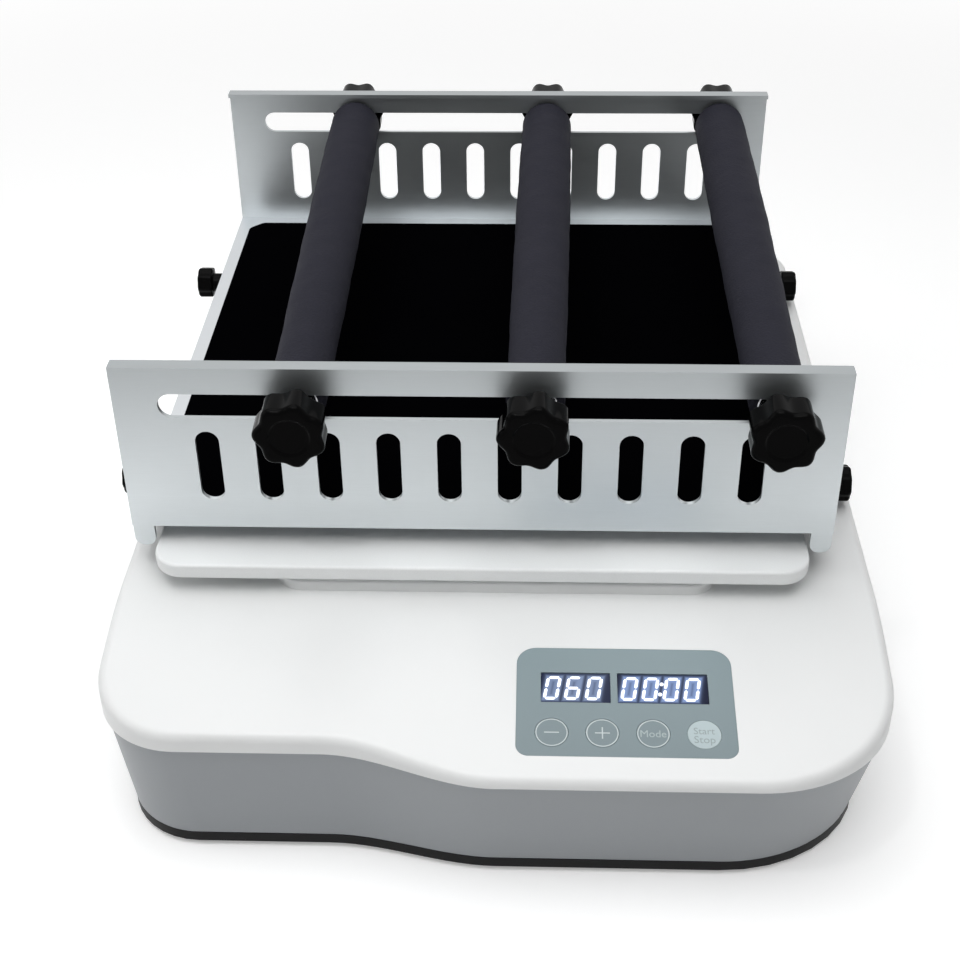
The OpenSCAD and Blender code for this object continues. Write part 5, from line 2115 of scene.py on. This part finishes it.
@dataclass
class ClampTray(Assembly):
    """Tray of sheet metal: floor, two slotted walls, nuts and the mat."""

    width: float = 299.0
    depth: float = 304.0
    sheet: float = 2.0
    wall_h: float = 78.5
    lip: float = 6.5
    # Number, pitch, width, lower and upper end
    slots: tuple[int, float, float, float, float] = (10, 25.0, 10.0, 14.3, 48.4)
    # Length, width and height
    rail: Triple = (262.0, 11.3, 60.7)
    flange_h: float = 11.0
    # Width and corner radius
    ear: Pair = (9.0, 4.0)
    ear_step: float = 1.2
    fold_r: float = 0.45
    # Bore, radius and soft edge
    bush: Triple = (2.55, 5.0, 0.3)
    mat_cut: float = 7.0
    mat_corner: float = 2.0
    mat_edge: float = 0.6

    def __post_init__(self) -> None:
        """Reads the tray's place from the frame."""
        at = middle("clamp_tray")
        self.origin = Vector((at.x, at.y, corner("tray_mat").z - self.sheet))

    def build(self) -> None:
        """Makes all pieces."""
        for side, node in ((-1, "tray_wall_front"), (1, "tray_wall_rear")):
            self.make_wall(side, node)
        floor = smoothed(node_copy("clamp_tray", "tray_floor"), bevel=0.35)
        self.hand_over(floor, TRAY_SHEET, "clamp_tray")
        self.make_mat()
        self.make_bushes()

    def make_bushes(self) -> None:
        """Threaded bushes of the side clamps."""
        found = solids("clamp_nuts")
        long = found[0][1].x - found[0][0].x
        bore, r, soft = self.bush
        profile = [(bore, 0), (r - soft, 0), (r, soft), (r, long - soft), (r - soft, long), (bore, long)]
        bush = Shape().lathe(profile, 40, closed=True)
        places = [(a.x, (a.y + b.y) / 2, (a.z + b.z) / 2) for a, b in found]
        turn = (0, math.pi / 2, 0)
        self.hand_copies("threaded_bushes", bush, places, NUT_BRASS, "clamp_nuts", turn)

    def make_wall(self, side: int, node: str) -> None:
        """One wall: a perforated blank with its lip and its two ears.

        Args:
            side: -1 in front, 1 behind.
            node: Its CAD node.
        """
        half, y = self.width / 2, -self.depth / 2
        corners = [(-half, 0), (half, 0), (half, self.wall_h), (-half, self.wall_h)]
        mesh = bpy.data.meshes.new(node)
        edges = [(i, (i + 1) % len(corners)) for i in range(len(corners))]
        mesh.from_pydata([(x * MM, z * MM, 0) for x, z in corners], edges, [])
        blank = linked(f"slotted_wall_{'front' if side < 0 else 'rear'}", mesh)
        count, pitch, width, low, high = self.slots
        PerforationBench().run(
            blank,
            Thickness=self.sheet * MM, Slot_Count=count, Slot_Pitch=pitch * MM, Slot_Width=width * MM,
            Slot_Length=(high - low) * MM, Slot_Height=(low + high) / 2 * MM, Rail_Length=self.rail[0] * MM,
            Rail_Width=self.rail[1] * MM, Rail_Height=self.rail[2] * MM, Material=WALL_SHEET.material(),
        )
        merged(blank, faces=False)
        blank.data.transform(Matrix.Translation((0, (y + self.sheet) * MM, 0)) @ UPRIGHT)
        lip = Shape().box((-half, y + 1, self.wall_h - self.sheet), (half, y + self.lip, self.wall_h))
        combined(blank, lip, "UNION")
        ears = Shape()
        ew, er = self.ear
        for sx in (-1, 1):
            at = (sx * (half - ew / 2), (1 - self.flange_h) / 2)
            ear = rounded_box(at, ew, self.flange_h + 1, [er, 0.5], 6)
            ears.slab([ear], -self.ear_step, self.sheet - self.ear_step)
        combined(blank, ears, "UNION", Matrix.Translation((0, y + self.sheet, 0)) @ UPRIGHT)
        turn = Matrix.Rotation(math.pi, 4, "Z") if side > 0 else Matrix.Identity(4)
        blank.data.transform(Matrix.Translation(self.origin * MM) @ turn)
        wall = smoothed(merged(blank, faces=False), bevel=self.fold_r, steps=3)
        self.hand_over(wall, WALL_SHEET, node)

    def make_mat(self) -> None:
        """Rubber mat with its rear corners cut."""
        low, high, cut = corner("tray_mat"), corner("tray_mat", True), self.mat_cut
        corners = [
            (low.x, low.y), (high.x, low.y), (high.x, high.y - cut), (high.x - cut, high.y),
            (low.x + cut, high.y), (low.x, high.y - cut),
        ]
        outline = softened_path(corners, self.mat_corner, 5)
        mat = Shape().slab([outline], low.z, high.z, self.mat_edge)
        self.hand_over(smoothed(mat.build("rubber_mat")), MAT_RUBBER, "tray_mat")


@dataclass(frozen=True)
class Grip:
    """Lobed grip of a knob."""

    radius: float
    lobe: float
    # Rounding below and above
    edges: Pair
    steps: tuple[int, int]
    # Share of the lobes' depth that is lost over the upper edge
    fade: float

    def rings(self, low: float, high: float) -> list[Triple]:
        """Rings of the grip.

        Args:
            low: Its lower end.
            high: Its upper end.

        Returns:
            Radius, height and lobe depth of each ring.
        """
        (back, front), (below, above) = self.edges, self.steps
        rings = [(self.radius - d, low + h, self.lobe) for d, h in edge_curve(back, below)]
        for k, (d, h) in enumerate(edge_curve(front, above)):
            rings.append((self.radius - h, high - d, self.lobe * (1 - self.fade * k / above)))
        return rings


@dataclass
class ClampBar(Assembly):
    """One clamp bar with its foam sleeve and both star knobs."""

    name: str
    offset: float
    turn: float
    knob_turns: Pair
    tray: ClampTray
    rod_r: float = 4.0
    bore_gap: float = 0.05
    air: float = 0.5
    # Length of its hub and of its head
    knob: Pair = (8.5, 14.5)
    knob_roof: float = 2.5
    rod_in: float = 3.0
    hub_r: float = 8.0
    lobes: int = 7
    grip: Grip = Grip(14.0, 1.0, edges=(1.2, 2.4), steps=(4, 6), fade=0.1)
    # Radius and thickness
    collar: Pair = (9.0, 2.0)
    # Radius at shares of its length
    sleeve: tuple[Pair, ...] = (
        (0.0, 12.3), (0.12, 12.5), (0.36, 13.15), (0.64, 13.7), (0.86, 13.7), (1.0, 13.55),
    )
    sleeve_end: float = 2.6
    dents: Pair = (0.10, 0.07)

    @property
    def matrix(self) -> Matrix:
        """Frame of the bar: its Z axis runs to the rear."""
        at = self.tray.origin + Vector((self.offset, 0, self.tray.rail[2]))
        turn = Matrix.Rotation(math.radians(self.turn), 4, "Z")
        return Matrix.Translation(at) @ turn @ Matrix.Rotation(-math.pi / 2, 4, "X")

    def build(self) -> None:
        """Makes all pieces."""
        self.make_rod()
        self.make_sleeve()
        for side, turn in zip((-1, 1), self.knob_turns):
            self.make_knob(side, math.radians(turn))

    def make_rod(self) -> None:
        """Steel rod with its collars."""
        half = self.tray.depth / 2 + self.air + sum(self.knob) - self.rod_in
        inner = self.tray.depth / 2 - self.tray.sheet - self.air
        r, (cr, ct) = self.rod_r, self.collar
        tip, soft, back = 0.6, 0.4, 0.2
        side = [
            (0, half), (r - tip, half), (r, half - tip), (r, inner),
            (cr - soft, inner), (cr, inner - soft),
            (cr, inner - ct + back), (cr - back, inner - ct), (r, inner - ct),
        ]
        profile = [(r, -z) for r, z in side] + [(r, z) for r, z in reversed(side)]
        rod = Shape().lathe(profile, 40).build(f"{self.name}_rod", self.matrix)
        self.hand_over(smoothed(rod), BAR_STEEL, f"clamp_bar_{self.name}")

    def make_sleeve(self) -> None:
        """Foam sleeve, a little thinner in front, with soft ends and a gently uneven skin."""
        inner = self.tray.depth / 2 - self.tray.sheet - self.air - self.collar[1]
        count, steps, soft, mouth = 64, 56, self.sleeve_end, 0.4
        (long, short), deepest = self.dents, sum(self.dents)
        bore = circle((0, 0), self.rod_r + self.bore_gap, steps)
        ends = edge_curve(soft, 5)
        marks = ends + [(0.0, soft + (2 * inner - 2 * soft) * i / count) for i in range(1, count)]
        marks += [(d, 2 * inner - z) for d, z in reversed(ends)]
        rings = [[(*p, -inner + mouth) for p in bore]]
        for drop, z in marks:
            ring = []
            for i in range(steps):
                a = math.tau * i / steps
                wave = long * math.sin(z * 0.11 + 2 * a + self.offset) + short * math.sin(z * 0.27 - 3 * a)
                r = self.sleeve_radius(z / (2 * inner)) - drop + wave - deepest
                ring.append((r * math.cos(a), r * math.sin(a), z - inner))
            rings.append(ring)
        rings.append([(*p, inner - mouth) for p in bore])
        shape = Shape()
        shape.loft(rings, closed=True)
        sleeve = smoothed(shape.build(f"{self.name}_foam_tube", self.matrix), 50)
        self.hand_over(sleeve, FOAM, f"foam_sleeve_{self.name}")

    def sleeve_radius(self, share: float) -> float:
        """Radius of the sleeve at a share of its length.

        Args:
            share: The share, 0 in front and 1 behind.

        Returns:
            The radius.
        """
        for (t0, r0), (t1, r1) in zip(self.sleeve, self.sleeve[1:]):
            if share <= t1:
                s = (share - t0) / (t1 - t0)
                return r0 + (r1 - r0) * s * s * (3 - 2 * s)
        return self.sleeve[-1][1]

    def make_knob(self, side: int, turn: float) -> None:
        """Star knob.

        Args:
            side: -1 in front, 1 behind.
            turn: Turn of its lobes, in radians.
        """
        hub, hub_r, top = self.knob[0], self.hub_r, sum(self.knob)
        bore, deep = self.rod_r + self.bore_gap, top - self.knob_roof
        rings = [
            (0, deep, 0), (bore, deep, 0), (bore, 0, 0), (hub_r - 0.6, 0, 0), (hub_r, 0.6, 0),
            (hub_r, hub - 1.6, 0), (hub_r + 0.5, hub - 0.5, 0), (hub_r + 1.6, hub, 0),
        ]
        rings += self.grip.rings(hub, top)
        face = ((9.0, 0.0), (8.4, 0.15), (8.0, 0.7), (7.4, 0.8), (0, 0.8))
        rings += [(a, top - sunk, 0) for a, sunk in face]
        shape = Shape().lathe(rings, 16 * self.lobes, lobes=self.lobes)
        place = Matrix.Translation((0, 0, side * (self.tray.depth / 2 + self.air)))
        if side < 0:
            place = place @ Matrix.Rotation(math.pi, 4, "Y")
        end = "front" if side < 0 else "rear"
        knob = shape.build(f"{self.name}_{end}_knob", self.matrix @ place @ Matrix.Rotation(turn, 4, "Z"))
        self.hand_over(smoothed(knob, 50), KNOB_BLACK, f"star_knob_{self.name}_{end}")


@dataclass
class SideClamps(Assembly):
    """Four thumb screws on the side flanges."""

    tray: ClampTray
    # Radius and length
    neck: Pair = (5.0, 8.7)
    grip: Grip = Grip(8.1, 0.4, edges=(0.9, 1.4), steps=(3, 4), fade=0.3)
    grip_t: float = 8.0
    flutes: int = 8
    screw_r: float = 2.5
    screw_gap: float = 0.02

    def build(self) -> None:
        """Makes the knob and the screw of each clamp."""
        for x_name, sx in (("left", -1), ("right", 1)):
            for y_name in ("front", "rear"):
                node = f"side_clamp_{x_name}_{y_name}"
                low, high, at = corner(node), corner(node, True), middle(node)
                plane = self.tray.origin.x + sx * (self.tray.width / 2 + 0.3)
                matrix = Matrix.Translation((plane, at.y, at.z)) @ Matrix.Rotation(sx * math.pi / 2, 4, "Y")
                tip = low.x if sx > 0 else high.x
                self.make_clamp(node, matrix, abs(plane - tip))

    def make_clamp(self, node: str, matrix: Matrix, reach: float) -> None:
        """One clamp.

        Args:
            node: Its CAD node.
            matrix: Its frame, with Z outwards.
            reach: How far the screw reaches inwards.
        """
        nr, nl = self.neck
        deep, top = nl + 3, nl + self.grip_t
        bore = self.screw_r + self.screw_gap
        rings = [
            (0, deep, 0), (bore, deep, 0), (bore, 0, 0),
            (nr - 0.5, 0, 0), (nr, 0.5, 0), (nr, nl - 0.8, 0), (nr + 0.8, nl, 0),
        ]
        rings += self.grip.rings(nl, top)
        rings += [(5.4, top, 0), (4.9, top - 0.5, 0), (0, top - 0.5, 0)]
        name = node.removeprefix("side_clamp_")
        knob = Shape().lathe(rings, 12 * self.flutes, lobes=self.flutes).build(f"{name}_thumb_knob", matrix)
        self.hand_over(smoothed(knob, 50), KNOB_BLACK, node)
        r, head = self.screw_r, deep - self.screw_gap
        profile = [(0, -reach), (r - 0.5, -reach), (r, -reach + 0.5), (r, head), (0, head)]
        screw = Shape().lathe(profile, 32).build(f"{name}_thumb_screw", matrix)
        self.hand_over(smoothed(screw), ZINC_STEEL, body=node)


# ---- studio


WHITE = (1, 1, 1, 1)


@dataclass(frozen=True)
class Lamp:
    """Soft lamp: where it stands, what it looks at, its size and its power."""

    name: str
    place: Point
    size: Pair
    power: float
    aim: Point = (0.0, 0.0, 0.1)

    def build(self) -> None:
        """Makes the lamp."""
        data = bpy.data.lights.new(self.name, "AREA")
        data.shape, data.size, data.size_y, data.energy = "RECTANGLE", *self.size, self.power
        lamp = linked(self.name, data)
        lamp.location = self.place
        way = Vector(self.aim) - Vector(self.place)
        lamp.rotation_euler = way.to_track_quat("-Z", "Y").to_euler()


@dataclass
class Studio:
    """Pale floor, white surroundings, soft lamps and the camera."""

    ambient: float = 0.11
    floor_half: float = 8.0
    # Lower and upper face, in millimetres
    floor_z: Pair = (-20.0, -0.02)
    floor_tone: float = 0.93
    floor_lift: float = 0.32
    floor_near: float = 0.4
    floor_far: float = 1.1
    camera_place: Point = (0.020516, -0.649957, 0.508410)
    # Yaw, pitch and roll in degrees
    camera_turn: Triple = (-2.322, 34.717, 0.718)
    lens: float = 59.005
    sensor: float = 36.0
    clip: Pair = (0.02, 60.0)
    lamps: tuple[Lamp, ...] = (
        Lamp("overhead", (-0.1, -0.1, 1.5), (1.7, 1.5), 16.8),
        Lamp("front", (0.1, -1.0, 1.65), (1.4, 0.7), 6.0),
        Lamp("left", (-1.5, -0.3, 0.9), (0.9, 0.9), 3.2),
        Lamp("spark", (-0.3, -0.6, 1.5), (0.06, 0.06), 1.2),
    )

    def build(self) -> None:
        """Makes everything round the object."""
        bpy.context.scene.view_settings.view_transform = "Standard"
        self.make_world()
        self.make_floor()
        for lamp in self.lamps:
            lamp.build()
        self.make_camera()

    def make_world(self) -> None:
        """White to camera and mirror rays, and a plain level of light to the rest."""
        world = bpy.data.worlds.new("surroundings")
        bpy.context.scene.world = world
        world.use_nodes = True
        tree = Tree(world.node_tree)
        tree.tree.nodes.clear()
        strength = self.ambient + tree.seen_ray() * (1 - self.ambient)
        light = tree.node("ShaderNodeBackground", {"Color": WHITE, "Strength": strength})
        tree.node("ShaderNodeOutputWorld", {"Surface": light})

    def make_floor(self) -> None:
        """Pale floor, which keeps the object's shadow."""
        h, (low, high) = self.floor_half / MM, self.floor_z
        floor = Shape().box((-h, -h, low), (h, h, high)).build("studio_floor")
        surface = Surface("studio_floor")
        seen = surface.seen_ray()
        plain = surface.node("ShaderNodeBsdfDiffuse", {"Color": rgba((self.floor_tone,) * 3)})
        lift = surface.node("ShaderNodeEmission", {"Color": WHITE, "Strength": seen * self.floor_lift})
        both = surface.node("ShaderNodeAddShader", {0: plain, 1: lift})
        white = surface.node("ShaderNodeEmission", {"Color": WHITE, "Strength": 1.0})
        place = surface.place()
        away = surface.node("ShaderNodeVectorMath", {0: place}, output="Value", operation="LENGTH")
        share = (away - self.floor_near) / (self.floor_far - self.floor_near)
        away = surface.ramp(share, (0.0, 0.0), (1.0, 1.0))
        whole = surface.node("ShaderNodeMixShader", {"Fac": away * seen, 1: both, 2: white})
        surface.node("ShaderNodeOutputMaterial", {"Surface": whole})
        floor.data.materials.append(surface.material)

    def make_camera(self) -> None:
        """Camera in front of the object, looking down on it."""
        turns = [math.radians(a) for a in self.camera_turn]
        (cy, sy), (cp, sp), (cr, sr) = ((math.cos(a), math.sin(a)) for a in turns)
        forward = Vector((sy * cp, cy * cp, -sp))
        right = Vector((cy, -sy, 0))
        down = forward.cross(right)
        turned_right = right * cr + down * sr
        turned_down = down * cr - right * sr
        turn = Matrix((turned_right, -turned_down, -forward)).transposed()
        data = bpy.data.cameras.new("camera")
        data.lens, data.sensor_width, data.sensor_fit = self.lens, self.sensor, "HORIZONTAL"
        data.clip_start, data.clip_end = self.clip
        camera = linked("camera", data)
        camera.matrix_world = Matrix.Translation(self.camera_place) @ turn.to_4x4()
        bpy.context.scene.camera = camera


def main() -> None:
    """Builds the scene, piece by piece."""
    logging.basicConfig(level=logging.INFO, format="%(name)s: %(message)s", stream=sys.stdout)
    Studio().build()
    form = BodyForm()
    panel = PanelFrame(form=form)
    tray = ClampTray()
    drive = DriveTrain()
    assemblies: list[Assembly] = [
        Housings(form, panel=panel),
        ControlPanel(panel),
        PowerFittings(form),
        drive,
        WorkingPlate(),
        tray,
        ClampBar("left", -76.9, 0.9, (-1.0, -12.9), tray),
        ClampBar("middle", 25.4, -1.0, (3.0, -12.9), tray),
        ClampBar("right", 122.6, -0.5, (30.7, -12.9), tray),
        SideClamps(tray),
    ]
    for assembly in assemblies:
        assembly.build()
    drive.dress_rest()
    LOG.info("%d new pieces", Assembly.pieces)


if __name__ == "__main__":
    main()
